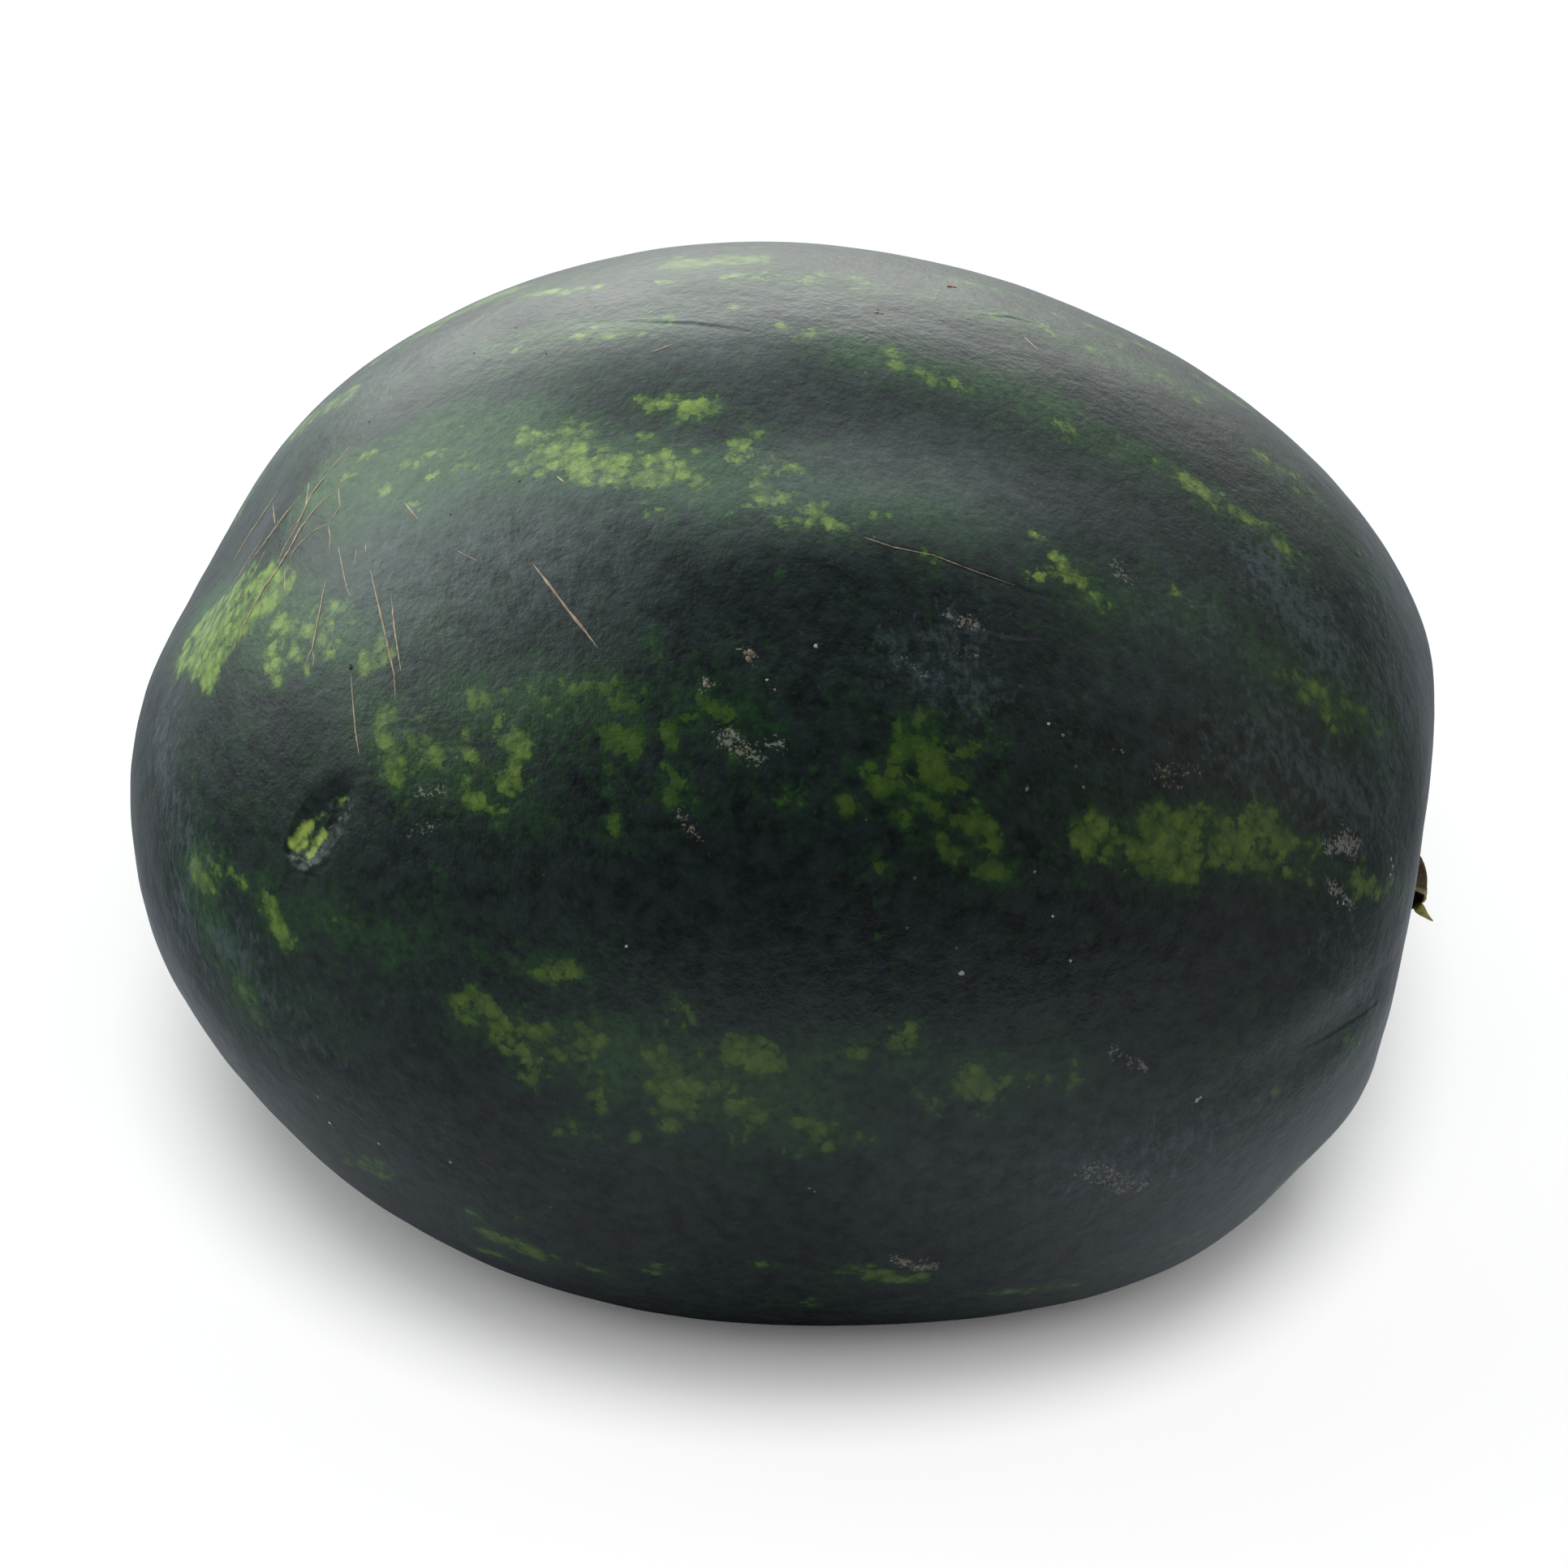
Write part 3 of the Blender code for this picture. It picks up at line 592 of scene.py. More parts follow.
CRUSTS = [
    (919, 801, 10, 11, 1.3, 1.1), (866, 842, 7, 1, 1.1, 1.1), (1002, 795, 6, 2, 0.9, 0.9),
    (1110, 811, 14, 7, 0.7, 1), (1124, 818, 16, 14, 0.7, 1), (1168, 757, 14, 8, 0.8, 1),
    (1182, 765, 22, 5, 1.2, 1), (1176, 803, 31, 4, 0.6, 1), (892, 905, 33, 25, 2.4, 0.85),
    (942, 912, 22, 3, 1.2, 0.9), (938, 935, 27, -5, 1, 0.75), (517, 978, 33, -10, 1.1, 0.95),
    (506, 1028, 39, -18, 1.1, 0.75), (832, 1000, 10, 8, 1.2, 0.95), (848, 1015, 11, 17, 1.3, 1),
    (1425, 948, 53, 2, 1.7, 0.72), (1422, 960, 33, 10, 1.2, 0.7), (1372, 695, 20, 25, 2, 0.7),
    (1367, 1292, 11, 8, 1.3, 0.85), (1392, 1308, 18, 8, 1.5, 0.85), (1345, 1442, 53, 20, 3.6, 0.7),
    (1104, 1552, 18, 6, 1.9, 0.95), (1128, 1562, 22, -2, 2.1, 1), (1132, 1550, 8, 3, 1, 0.8),
    (1636, 1044, 36, -4, 2, 1), (1656, 1016, 12, 40, 1.6, 0.85), (1713, 1055, 3, 30, 0.6, 1),
    (1638, 1090, 30, 26, 1.8, 0.85), (1376, 922, 8, 8, 1, 0.8), (1424, 852, 6, 6, 0.8, 0.8),
    (1655, 1010, 9, 20, 0.9, 0.75), (1705, 846, 8, 22, 0.9, 0.75), (382, 1346, 16, 9, 0.8, 1),
    (404, 1382, 4, 5, 0.8, 0.9), (466, 1406, 3, 5, 0.8, 0.9), (1298, 908, 18, -4, 0.8, 0.8),
    (1284, 876, 12, 2, 0.8, 0.8), (1266, 970, 4, 4, 0.8, 0.9), (1270, 1072, 4, 3, 0.6, 1),
    (1076, 384, 16, 3, 1, 0.95), (1083, 380, 0, 10, 0.9, 0.95),
]
# Haze strokes: pale bloom, and painted sheen where the skin's shine and the floor's reflection are brighter.
HAZE_AND_PAINTED_SHEEN = [
    (330, 560, 140, -90, 9, 0.9), (470, 470, 90, -40, 7, 0.5), (500, 640, 200, 0, 14, 0.45),
    (480, 700, 160, 30, 16, 0.66), (480, 790, 110, 30, 12, 0.45), (840, 610, 160, -5, 7, 0.6),
    (960, 600, 230, 5, 8, 0.7), (600, 600, 120, 40, 10, 0.3), (820, 430, 80, 0, 6, 0.5),
    (1120, 1430, 360, -30, 15, 0.4), (1560, 1350, 60, -50, 9, 0.45), (820, 1425, 220, 0, 10, 0.3),
    (930, 590, 220, 10, 6, 0.35), (1420, 790, 80, 10, 9, 0.3), (560, 640, 140, 60, 14, 0.75),
    (270, 1290, 70, 70, 9, 0.5),
]
DULL = [
    (640, 415, 100, 25, 8, 0.5), (790, 500, 110, 30, 9, 0.8), (1020, 425, 180, 5, 9, 0.6),
    (1200, 430, 120, 20, 9, 0.5), (1400, 500, 100, 45, 9, 0.55), (370, 900, 30, 100, 13, 0.6),
    (480, 1060, 80, 180, 20, 0.6), (640, 1060, 120, 20, 14, 0.3), (380, 1230, 30, 60, 9, 0.12),
    (1560, 690, 60, 50, 9, 0.4), (1100, 740, -200, 60, 14, 0.5), (1720, 800, 15, 160, 8, 0.6),
    (195, 900, 10, 180, 8, 0.45), (310, 960, 35, 80, 13, 0.5), (840, 1060, -280, 270, 12, 0.3),
    (540, 1440, 60, 30, 10, 0.35),
]
# Each list of strokes, how yellow and light its blotches are, and a share for its widths. The lightness is
# partly painted light: lists on the lit top and left shoulder are lighter, those on the shaded front darker.
TONED_AND_LIT_LISTS = [
    (LEFT_SHOULDER, 0.62, 1.13), (CROWN, 0.74, 1), (TOP_STRIPES, 0.48, 0.85), (MIDDLE_LEFT, 0.44, 0.9),
    (MIDDLE, 0.1, 0.82), (MIDDLE_BLOCK, 0.13, 0.55), (RIGHT_STRIPE, 0.31, 0.87), (LOWER, 0.25, 0.98),
]
HIDDEN_TONE = 0.25
SEEN_BLOTCHES = [
    (*stroke[:4], stroke[4] * share, stroke[5]) for strokes, _, share in TONED_AND_LIT_LISTS for stroke in strokes
]
print(len(SEEN_BLOTCHES), "blotches,", len(GREEN_CLOUDS), "clouds,", len(CRUSTS), "crusts")


# %% [markdown]
# The photograph shows a little under half of the skin. On the rest, the same kind of broken stripe runs from
# the stem end to the blossom end, one about every thirty degrees. A seeded generator draws for each step a
# blotch, one to three dabs beside it and three clouds round it, with lengths and widths like those above, and
# then leaves a short or a long gap.

# %% Stripes on the side that the photograph doesn't show
# Places and lengths are in degrees, along the fruit and round it, and widths are drawn in millimetres.
HIDDEN_TURNS = (158, 192, 226, 258, 289, 318, 340)
STRIPE_START = 16.0
LONG_STRIPE_END = 166
SHORT_STRIPE_END = 126
SHORT_STRIPES_FROM = 280
STRIPE_GAPS = [1.0, 3.0, 8.0, 15.0]
generator = np.random.default_rng(7)


def one_place(surface, polar, turn):
    """One row of a formula that works on whole lists of angles."""
    return surface(np.array([polar]), np.array([turn]))[0]


def skin_place(polar_degrees, turn_degrees):
    return one_place(skin, radians(polar_degrees), radians(turn_degrees)) + SHIFT


hidden_blotches = []
hidden_clouds = []
for stripe_turn in HIDDEN_TURNS:
    polar = STRIPE_START
    last_polar = LONG_STRIPE_END if stripe_turn < SHORT_STRIPES_FROM else SHORT_STRIPE_END
    while polar < last_polar:
        reach = generator.uniform(2, 9)
        middle = stripe_turn + generator.normal(0, 3.0)
        start = skin_place(polar, middle)
        end = skin_place(polar + reach, middle + generator.normal(0, 1.5))
        strength = generator.uniform(0.78, 1.05)
        hidden_blotches.append((start, end, generator.uniform(1.6, 4.8) / 1000, strength))
        for _ in range(generator.integers(1, 4)):
            beside = middle + generator.choice([-1, 1]) * generator.uniform(2, 7)
            spot = skin_place(polar + generator.uniform(-2, reach + 2), beside)
            radius = generator.uniform(1.4, 3) / 1000
            hidden_blotches.append((spot, spot, radius, generator.uniform(0.75, 0.95)))
        for _ in range(3):
            start_polar = polar + generator.uniform(-5, 2)
            start = skin_place(start_polar, stripe_turn + generator.normal(0, 3.5))
            end_polar = polar + reach + generator.uniform(2, 9)
            end = skin_place(end_polar, stripe_turn + generator.normal(0, 3.5))
            radius = generator.uniform(3, 8) / 1000
            hidden_clouds.append((start, end, radius, generator.uniform(0.35, 0.65)))
        polar += reach + generator.choice(STRIPE_GAPS)
print(len(hidden_blotches), "blotches on the far side")


# %% [markdown]
# Each layer of strokes becomes a number at every grid corner: 0 far from a stroke, about a half at its edge
# and more inside it. The edge ramps over a few millimetres, which the material's noise then roughens.

# %% Paint the layers on the skin
BLOTCH_EDGE = 0.0021
TONE_EDGE = 0.003
TONE_WIDENING = 4
CLOUD_EDGE = 0.009
BORDER_WIDENING = 0.0025
BORDER_STRENGTH = 0.66
BORDER_EDGE = 0.005
# Each further layer: its strokes and how far its edge fades, in metres.
OTHER_LAYERS = {
    "wax_and_sheen": (WAX_AND_SHEEN_SMEARS, 0.007), "haze_and_sheen": (HAZE_AND_PAINTED_SHEEN, 0.011), "dull": (DULL, 0.011), "crust": (CRUSTS, 0.0013),
    "rim": (DIMPLE_RIM, 0.0005), "flesh": (DIMPLE_FLESH, 0.0009),
}


def placed(strokes):
    """The strokes with places on the skin for their pixels, and metres for their widths."""
    done = []
    for x, y, right, down, half_width, strength in strokes:
        start, end = on_skin(x, y)[0], on_skin(x + right, y + down)[0]
        done.append((start, end, half_width / 1000, strength))
    return done


def depth_in_strokes(points, strokes, edge):
    """For each point, how deep it lies in the strokes: 0 outside, the stroke's strength well inside."""
    depth = np.zeros(len(points))
    for start, end, half_width, strength in strokes:
        a = np.array(start)
        middle = (a + np.array(end)) / 2
        reach = np.linalg.norm(np.array(end) - a) / 2 + half_width + edge
        close = np.where(np.linalg.norm(points - middle, axis=1) < reach)[0]
        away = distance_to_line(points[close], [a, np.array(end)])
        value = strength * np.clip(0.5 + (half_width - away) / (2 * edge), 0, 1)
        depth[close] = np.maximum(depth[close], value)
    return depth


skin_points = coordinates(fruit)
blotches = placed(SEEN_BLOTCHES) + hidden_blotches
# The blotch tone, partly painted light: each list's value makes its blotches lighter on the lit top and
# darker on the shaded front.
tones_and_painted_light = placed([
    (*stroke[:4], stroke[4] + TONE_WIDENING, tone_and_painted_light) for strokes, tone_and_painted_light, _ in TONED_AND_LIT_LISTS for stroke in strokes
])
tones_and_painted_light += [(a, b, width + TONE_WIDENING / 1000, HIDDEN_TONE) for a, b, width, _ in hidden_blotches]
borders = [(a, b, width + BORDER_WIDENING, min(s, 1.0) * BORDER_STRENGTH) for a, b, width, s in blotches]
blotch = depth_in_strokes(skin_points, blotches, BLOTCH_EDGE)
cloud = depth_in_strokes(skin_points, placed(GREEN_CLOUDS) + hidden_clouds, CLOUD_EDGE)
store(fruit, "blotch", blotch)
store(fruit, "tone_and_painted_light", depth_in_strokes(skin_points, tones_and_painted_light, TONE_EDGE))
store(fruit, "cloud", np.maximum(cloud, depth_in_strokes(skin_points, borders, BORDER_EDGE)))
for name, (strokes, edge) in OTHER_LAYERS.items():
    store(fruit, name, depth_in_strokes(skin_points, placed(strokes), edge))
print("under a blotch:", f"{(blotch > 0.5).mean():.1%}", "of the skin's corners")


# %% [markdown]
# The ground spot is where the fruit lay in the field: the rind stays pale and yellowish there. The
# photograph hides it, so it is kept small and low, round the spot the fruit rests on. The blossom scar on the
# far end is a small corky brown spot in a shallow hollow.

# %% Ground spot and blossom scar layers
GROUND_SPOT_PLACE = np.array([0.010, 0.004, 0.0])
GROUND_SPOT_HALF = np.array([0.062, 0.044, 0.05])
SCAR_RADIUS = 0.0042

from_spot = np.linalg.norm((skin_points - GROUND_SPOT_PLACE) / GROUND_SPOT_HALF, axis=1)
store(fruit, "ground", np.clip(1.35 - from_spot, 0, 1))
scar_centre = one_place(skin, *SCAR_PLACE) + SHIFT
from_scar = np.linalg.norm(skin_points - scar_centre, axis=1)
store(fruit, "scar", np.clip(1.5 - from_scar / SCAR_RADIUS, 0, 1))
print("corners in the scar:", int((from_scar < SCAR_RADIUS).sum()))


# %% [markdown]
# Nodes are put together by a few short helpers. The grain group is shared by every material here: it gives
# a fine bump height and a slow mottling, at the size that the material asks for.

# %% Node helpers and the grain group
def add(tree, kind, inputs=None, **settings):
    node = tree.nodes.new(kind)
    for key, value in settings.items():
        setattr(node, key, value)
    for key, value in (inputs or {}).items():
        if isinstance(value, bpy.types.NodeSocket):
            tree.links.new(value, node.inputs[key])
        else:
            node.inputs[key].default_value = value
    return node


def math(tree, operation, a, b=0.0):
    return add(tree, "ShaderNodeMath", {0: a, 1: b}, operation=operation).outputs[0]


def times(tree, a, b):
    return math(tree, "MULTIPLY", a, b)


def vector_math(tree, operation, a, b=(0, 0, 0)):
    return add(tree, "ShaderNodeVectorMath", {0: a, 1: b}, operation=operation).outputs


def ramp(tree, value, low, high, to_low=0.0, to_high=1.0):
    inputs = {"Value": value, "From Min": low, "From Max": high, "To Min": to_low, "To Max": to_high}
    return add(tree, "ShaderNodeMapRange", inputs, clamp=True).outputs[0]


def mix(tree, factor, a, b, blend="MIX"):
    """From colour a to colour b as the factor grows. A colour is a socket or three numbers."""
    inputs = {"Factor": factor}
    for slot, colour in ((6, a), (7, b)):
        inputs[slot] = colour if isinstance(colour, bpy.types.NodeSocket) else (*colour, 1)
    return add(tree, "ShaderNodeMix", inputs, data_type="RGBA", blend_type=blend).outputs[2]


def attribute(tree, name):
    return add(tree, "ShaderNodeAttribute", attribute_name=name).outputs["Fac"]


def noise_at(tree, vector, scale, detail=3.0, roughness=0.55):
    inputs = {"Vector": vector, "Scale": scale, "Detail": detail, "Roughness": roughness}
    return add(tree, "ShaderNodeTexNoise", inputs).outputs["Fac"]


grain = bpy.data.node_groups.new("grain", "ShaderNodeTree")
for name, way, kind in (
    ("Vector", "INPUT", "Vector"), ("Grain Scale", "INPUT", "Float"), ("Mottle Scale", "INPUT", "Float"),
    ("Grain", "OUTPUT", "Float"), ("Mottle", "OUTPUT", "Float"),
):
    grain.interface.new_socket(name, in_out=way, socket_type=f"NodeSocket{kind}")
given = grain.nodes.new("NodeGroupInput").outputs
result = grain.nodes.new("NodeGroupOutput").inputs
grain.links.new(noise_at(grain, given["Vector"], given["Grain Scale"], 2.0, 0.6), result["Grain"])
grain.links.new(noise_at(grain, given["Vector"], given["Mottle Scale"], 5.0, 0.6), result["Mottle"])


def new_material(name):
    """A material, its tree of nodes and the place on the object, which its textures read."""
    made = bpy.data.materials.new(name)
    made.use_nodes = True
    tree = made.node_tree
    return made, tree, add(tree, "ShaderNodeTexCoord").outputs["Object"]


def place_grain(tree, vector, grain_scale, mottle_scale):
    inputs = {"Vector": vector, "Grain Scale": grain_scale, "Mottle Scale": mottle_scale}
    outputs = add(tree, "ShaderNodeGroup", inputs, node_tree=grain).outputs
    return outputs["Grain"], outputs["Mottle"]


def clothe(obj, material, colour, rough, height, strength, distance):
    """Link what was made to the material's shader, and give the material to the piece."""
    tree = material.node_tree
    shader = tree.nodes["Principled BSDF"]
    bump = add(tree, "ShaderNodeBump", {"Height": height, "Strength": strength, "Distance": distance})
    tree.links.new(colour, shader.inputs["Base Color"])
    tree.links.new(rough, shader.inputs["Roughness"])
    tree.links.new(bump.outputs["Normal"], shader.inputs["Normal"])
    obj.data.materials.append(material)
    return shader


print("grain group:", len(grain.nodes), "nodes")


# %% [markdown]
# The rind is nearly black green with a thin wax on it. The light blotches have lobed, ragged edges, a greener
# border and a yellower middle, whose lightness is set for each list of strokes and is partly painted light:
# lighter on the lit top, darker on the shaded front. The stroke depth is shaken by noise and by small cells,
# and what then is over a half is blotch. Clouds of plain green lie round them. Haze with painted sheen, bared
# flesh, the torn rim, pinpoints, wax smears with a few strokes of painted sheen, pale crusts, the ground spot
# and the scar come on top, and the dull places shine less.

# %% Rind material
# Each scale says how fine a texture is: its features in a metre.
GRAIN_SCALE = 900.0
MOTTLE_SCALE = 260.0
PATCH_SCALE = 110.0
RAGGED_SCALE = 480.0
BROAD_SCALE = 26.0
CELL_SCALE = 330.0
PINPOINT_SCALE = 130.0
SMEAR_SCALE = 620.0
SPECK_SCALE = 1500.0
CELL_BEND = (0.004, 0.004, 0.004)
# Colours, where a pair is the darkest and the lightest of its kind.
DARK_SKIN = ((0.003, 0.006, 0.007), (0.021, 0.029, 0.032))
GREENISH_SKIN = (0.008, 0.024, 0.013)
REDDISH_SKIN = (0.026, 0.022, 0.026)
DEEP_GREEN = ((0.008, 0.026, 0.012), (0.020, 0.056, 0.021))
CLEAR_GREEN = ((0.014, 0.044, 0.017), (0.044, 0.110, 0.034))
BLOTCH_BORDER = (0.024, 0.070, 0.018)
BLOTCH_GREEN = ((0.050, 0.094, 0.015), (0.37, 0.48, 0.085))
BLOTCH_GRAIN = (0.045, 0.105, 0.018)
BLOTCH_VEINS = (0.030, 0.072, 0.016)
# Light grey of the haze, partly a painted sheen.
HAZE_AND_SHEEN_GREY = (0.095, 0.115, 0.110)
FLESH = ((0.07, 0.14, 0.025), (0.44, 0.52, 0.10))
TORN_RIM = (0.19, 0.23, 0.19)
PINPOINT = (0.20, 0.24, 0.22)
# Blue-grey of the wax smears, which in a few strokes is a painted sheen.
WAX_AND_SHEEN_GREY = (0.085, 0.110, 0.125)
CRUST_COLOURS = ((0.38, 0.29, 0.23), (0.36, 0.34, 0.31))
GROUND_YELLOW = (0.50, 0.44, 0.16)
SCAR_BROWN = (0.16, 0.12, 0.08)
WAXY_IOR = 1.45


def shake(tree, value, texture, amount, middle=0.5):
    """Add a texture's swing round its middle to a value."""
    return math(tree, "ADD", value, times(tree, math(tree, "SUBTRACT", texture, middle), amount))


rind, tree, place = new_material("rind")
grain_height, mottle = place_grain(tree, place, GRAIN_SCALE, MOTTLE_SCALE)
patchy = noise_at(tree, place, PATCH_SCALE, 3.0, 0.6)
inputs = {"Vector": place, "Scale": RAGGED_SCALE, "Detail": 3.0, "Roughness": 0.65}
ragged_noise = add(tree, "ShaderNodeTexNoise", inputs).outputs
ragged = ragged_noise["Fac"]
tinge = add(tree, "ShaderNodeSeparateColor", {0: ragged_noise["Color"]}).outputs
broad = noise_at(tree, place, BROAD_SCALE, 2.0, 0.5)
bend = vector_math(tree, "MULTIPLY", ragged_noise["Color"], CELL_BEND)[0]
inputs = {"Vector": vector_math(tree, "ADD", place, bend)[0], "Scale": CELL_SCALE}
islands = add(tree, "ShaderNodeTexVoronoi", inputs).outputs
cells = islands["Distance"]
chance = add(tree, "ShaderNodeSeparateColor", {0: islands["Color"]}).outputs[0]

shaken = times(tree, attribute(tree, "blotch"), 0.70)
shaken = shake(tree, shaken, cells, -0.34, 0.42)
shaken = shake(tree, shaken, chance, 0.44)
shaken = shake(tree, shaken, patchy, 0.62)
shaken = shake(tree, shaken, ragged, 0.55)
# The middle of a blotch takes its yellowness and lightness from the tone, which is partly painted light.
blotch_core = times(tree, ramp(tree, shaken, 0.44, 0.76), attribute(tree, "tone_and_painted_light"))
cloud_depth = shake(tree, shake(tree, attribute(tree, "cloud"), ragged, 1.1), patchy, 0.9)

dark = mix(tree, ramp(tree, mottle, 0.38, 0.66), *DARK_SKIN)
dark = mix(tree, ramp(tree, tinge[0], 0.50, 0.66, 0.0, 0.45), dark, GREENISH_SKIN)
dark = mix(tree, ramp(tree, tinge[2], 0.52, 0.64, 0.0, 0.4), dark, REDDISH_SKIN)
deep_green = mix(tree, ramp(tree, ragged, 0.3, 0.7), *DEEP_GREEN)
clear_green = mix(tree, ramp(tree, ragged, 0.3, 0.65), *CLEAR_GREEN)
green = mix(tree, ramp(tree, attribute(tree, "cloud"), 0.45, 0.95), deep_green, clear_green)
colour = mix(tree, ramp(tree, cloud_depth, 0.20, 0.82), dark, green)
colour = mix(tree, times(tree, ramp(tree, shaken, 0.18, 0.46), 0.6), colour, BLOTCH_BORDER)
light = mix(tree, blotch_core, *BLOTCH_GREEN)
light = mix(tree, ramp(tree, grain_height, 0.35, 0.65, 0.0, 0.35), light, BLOTCH_GRAIN)
light = mix(tree, ramp(tree, cells, 0.28, 0.62, 0.0, 0.5), light, BLOTCH_VEINS)
colour = mix(tree, ramp(tree, shaken, 0.43, 0.52), colour, light)

# Painted sheen with pale bloom: the haze strokes mix a light grey into the rind's colour.
haze_and_sheen_mask = times(tree, attribute(tree, "haze_and_sheen"), ramp(tree, mottle, 0.35, 0.65, 0.30, 0.78))
colour = mix(tree, haze_and_sheen_mask, colour, HAZE_AND_SHEEN_GREY)
flesh_depth = shake(tree, shake(tree, attribute(tree, "flesh"), ragged, 0.7), grain_height, 1.0)
flesh_colour = mix(tree, ramp(tree, flesh_depth, 0.42, 1.12), *FLESH)
colour = mix(tree, ramp(tree, flesh_depth, 0.26, 0.72), colour, flesh_colour)
rim_mask = ramp(tree, shake(tree, attribute(tree, "rim"), grain_height, 1.3), 0.55, 0.85)
colour = mix(tree, times(tree, rim_mask, 0.7), colour, TORN_RIM)
spots = add(tree, "ShaderNodeTexVoronoi", {"Vector": place, "Scale": PINPOINT_SCALE}).outputs
spot_chance = add(tree, "ShaderNodeSeparateColor", {0: spots["Color"]}).outputs[0]
rare = math(tree, "GREATER_THAN", spot_chance, 0.7)
spot_mask = times(tree, ramp(tree, spots["Distance"], 0.050, 0.03), rare)
colour = mix(tree, times(tree, spot_mask, 0.5), colour, PINPOINT)
upright = add(tree, "ShaderNodeMapping", {"Vector": place, "Scale": (1.0, 0.8, 0.45)}).outputs["Vector"]
smear = noise_at(tree, upright, SMEAR_SCALE, 4.0, 0.7)
# Wax smears, and in a few strokes painted sheen, mix a blue-grey into the colour.
wax_and_sheen_mask = ramp(tree, shake(tree, attribute(tree, "wax_and_sheen"), smear, 2.8), 0.40, 0.95, 0.0, 0.62)
colour = mix(tree, wax_and_sheen_mask, colour, WAX_AND_SHEEN_GREY)
specks = noise_at(tree, place, SPECK_SCALE, 2.0, 0.7)
crust_depth = shake(tree, shake(tree, attribute(tree, "crust"), specks, 2.6), ragged, 1.2)
crust_mask = ramp(tree, crust_depth, 0.72, 1.05)
crust_colour = mix(tree, ramp(tree, mottle, 0.42, 0.58), *CRUST_COLOURS)
colour = mix(tree, times(tree, crust_mask, 0.72), colour, crust_colour)
ground_depth = shake(tree, attribute(tree, "ground"), patchy, 0.8)
colour = mix(tree, ramp(tree, ground_depth, 0.35, 0.95, 0.0, 0.85), colour, GROUND_YELLOW)
scar_depth = shake(tree, attribute(tree, "scar"), ragged, 0.5)
colour = mix(tree, ramp(tree, scar_depth, 0.4, 0.6, 0.0, 0.9), colour, SCAR_BROWN)

rough = math(tree, "ADD", ramp(tree, broad, 0.3, 0.7, 0.37, 0.45), times(tree, crust_mask, 0.35))
height = math(tree, "ADD", times(tree, grain_height, 0.25), times(tree, mottle, 0.75))
shader = clothe(fruit, rind, colour, rough, height, strength=0.6, distance=0.00072)
shader.inputs["IOR"].default_value = WAXY_IOR
shine = math(tree, "MULTIPLY_ADD", attribute(tree, "dull"), -0.26)
shine.node.inputs[2].default_value = 0.5
tree.links.new(shine, shader.inputs["Specular IOR Level"])
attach(fruit, "root")
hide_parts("fruit")
print("rind nodes:", len(tree.nodes))


# %% [markdown]
# Stalks and leaves have scratched the left shoulder while the fruit grew, and each scratch healed into a
# thin, raised, corky thread. A thread is a curve through places on the skin, with a round section that
# tapers at both ends. It becomes a mesh that sits half in the skin.

# %% Corky scratches
# Each scratch: its radius in millimetres and the pixels it runs through.
SCRATCHES = [
    (0.27, [(431, 550), (413, 573), (395, 595), (382, 612), (370, 640), (355, 655)]),
    (0.25, [(417, 601), (390, 625), (370, 652), (355, 680), (340, 705), (325, 725), (305, 762), (286, 800)]),
    (0.20, [(404, 645), (385, 655), (365, 675), (352, 695)]),
    (0.18, [(404, 645), (407, 662), (406, 680)]),
    (0.20, [(417, 601), (419, 625), (407, 642)]),
    (0.24, [(370, 610), (342, 647), (322, 675), (305, 695)]),
    (0.23, [(342, 605), (327, 630), (310, 655), (287, 692)]),
    (0.16, [(336, 620), (339, 647)]),
    (0.22, [(385, 607), (365, 650), (350, 675), (342, 692)]),
    (0.15, [(325, 660), (303, 695), (285, 725)]),
    (0.24, [(401, 715), (395, 750), (385, 800), (374, 822)]),
    (0.16, [(385, 800), (387, 812), (385, 822)]),
    (0.14, [(416, 670), (427, 725), (435, 740)]),
    (0.13, [(439, 675), (437, 697)]),
    (0.13, [(450, 667), (451, 680)]),
    (0.25, [(456, 702), (470, 760), (480, 805), (486, 831), (487, 862)]),
    (0.24, [(482, 735), (487, 780), (494, 827)]),
    (0.30, [(656, 694), (680, 725), (700, 752), (722, 779), (737, 799)]),
    (0.17, [(432, 827), (435, 865), (438, 900), (443, 935)]),
    (0.20, [(498, 619), (515, 640)]),
    (0.17, [(685, 586), (696, 595)]),
    (0.12, [(562, 678), (590, 692)]),
    (0.15, [(707, 480), (715, 476)]),
    (0.16, [(802, 434), (815, 430), (828, 424)]),
    (0.18, [(1262, 415), (1270, 423), (1280, 432)]),
    (0.12, [(1045, 655), (1100, 674), (1150, 684), (1205, 705), (1270, 728)]),
    (0.15, [(351, 698), (351, 732)]),
    (0.16, [(381, 593), (376, 627)]),
    (0.15, [(329, 674), (308, 716)]),
    (0.16, [(426, 582), (418, 600)]),
]
SCRATCH_SPACING = 5
SCRATCH_THICKNESS = 1.15
CORKY_SINK = 0.00004
FRUIT_MIDDLE = Vector((0, 0, 0.11))
CORK_COLOURS = ((0.37, 0.23, 0.14), (0.70, 0.51, 0.38))


def thread(curve, corners, radius):
    line = along_pixels(corners, SCRATCH_SPACING)
    spline = curve.splines.new("POLY")
    spline.points.add(len(line) - 1)
    for index, place in enumerate(line):
        share = index / (len(line) - 1)
        wobble = 0.75 + 0.5 * noise.noise(place * 900)
        taper = min(1.0, 0.25 + 3.2 * min(share, 1 - share))
        outwards = (place - FRUIT_MIDDLE).normalized()
        spline.points[index].co = (*(place - outwards * CORKY_SINK), 1)
        spline.points[index].radius = SCRATCH_THICKNESS * radius / 1000 * taper * wobble


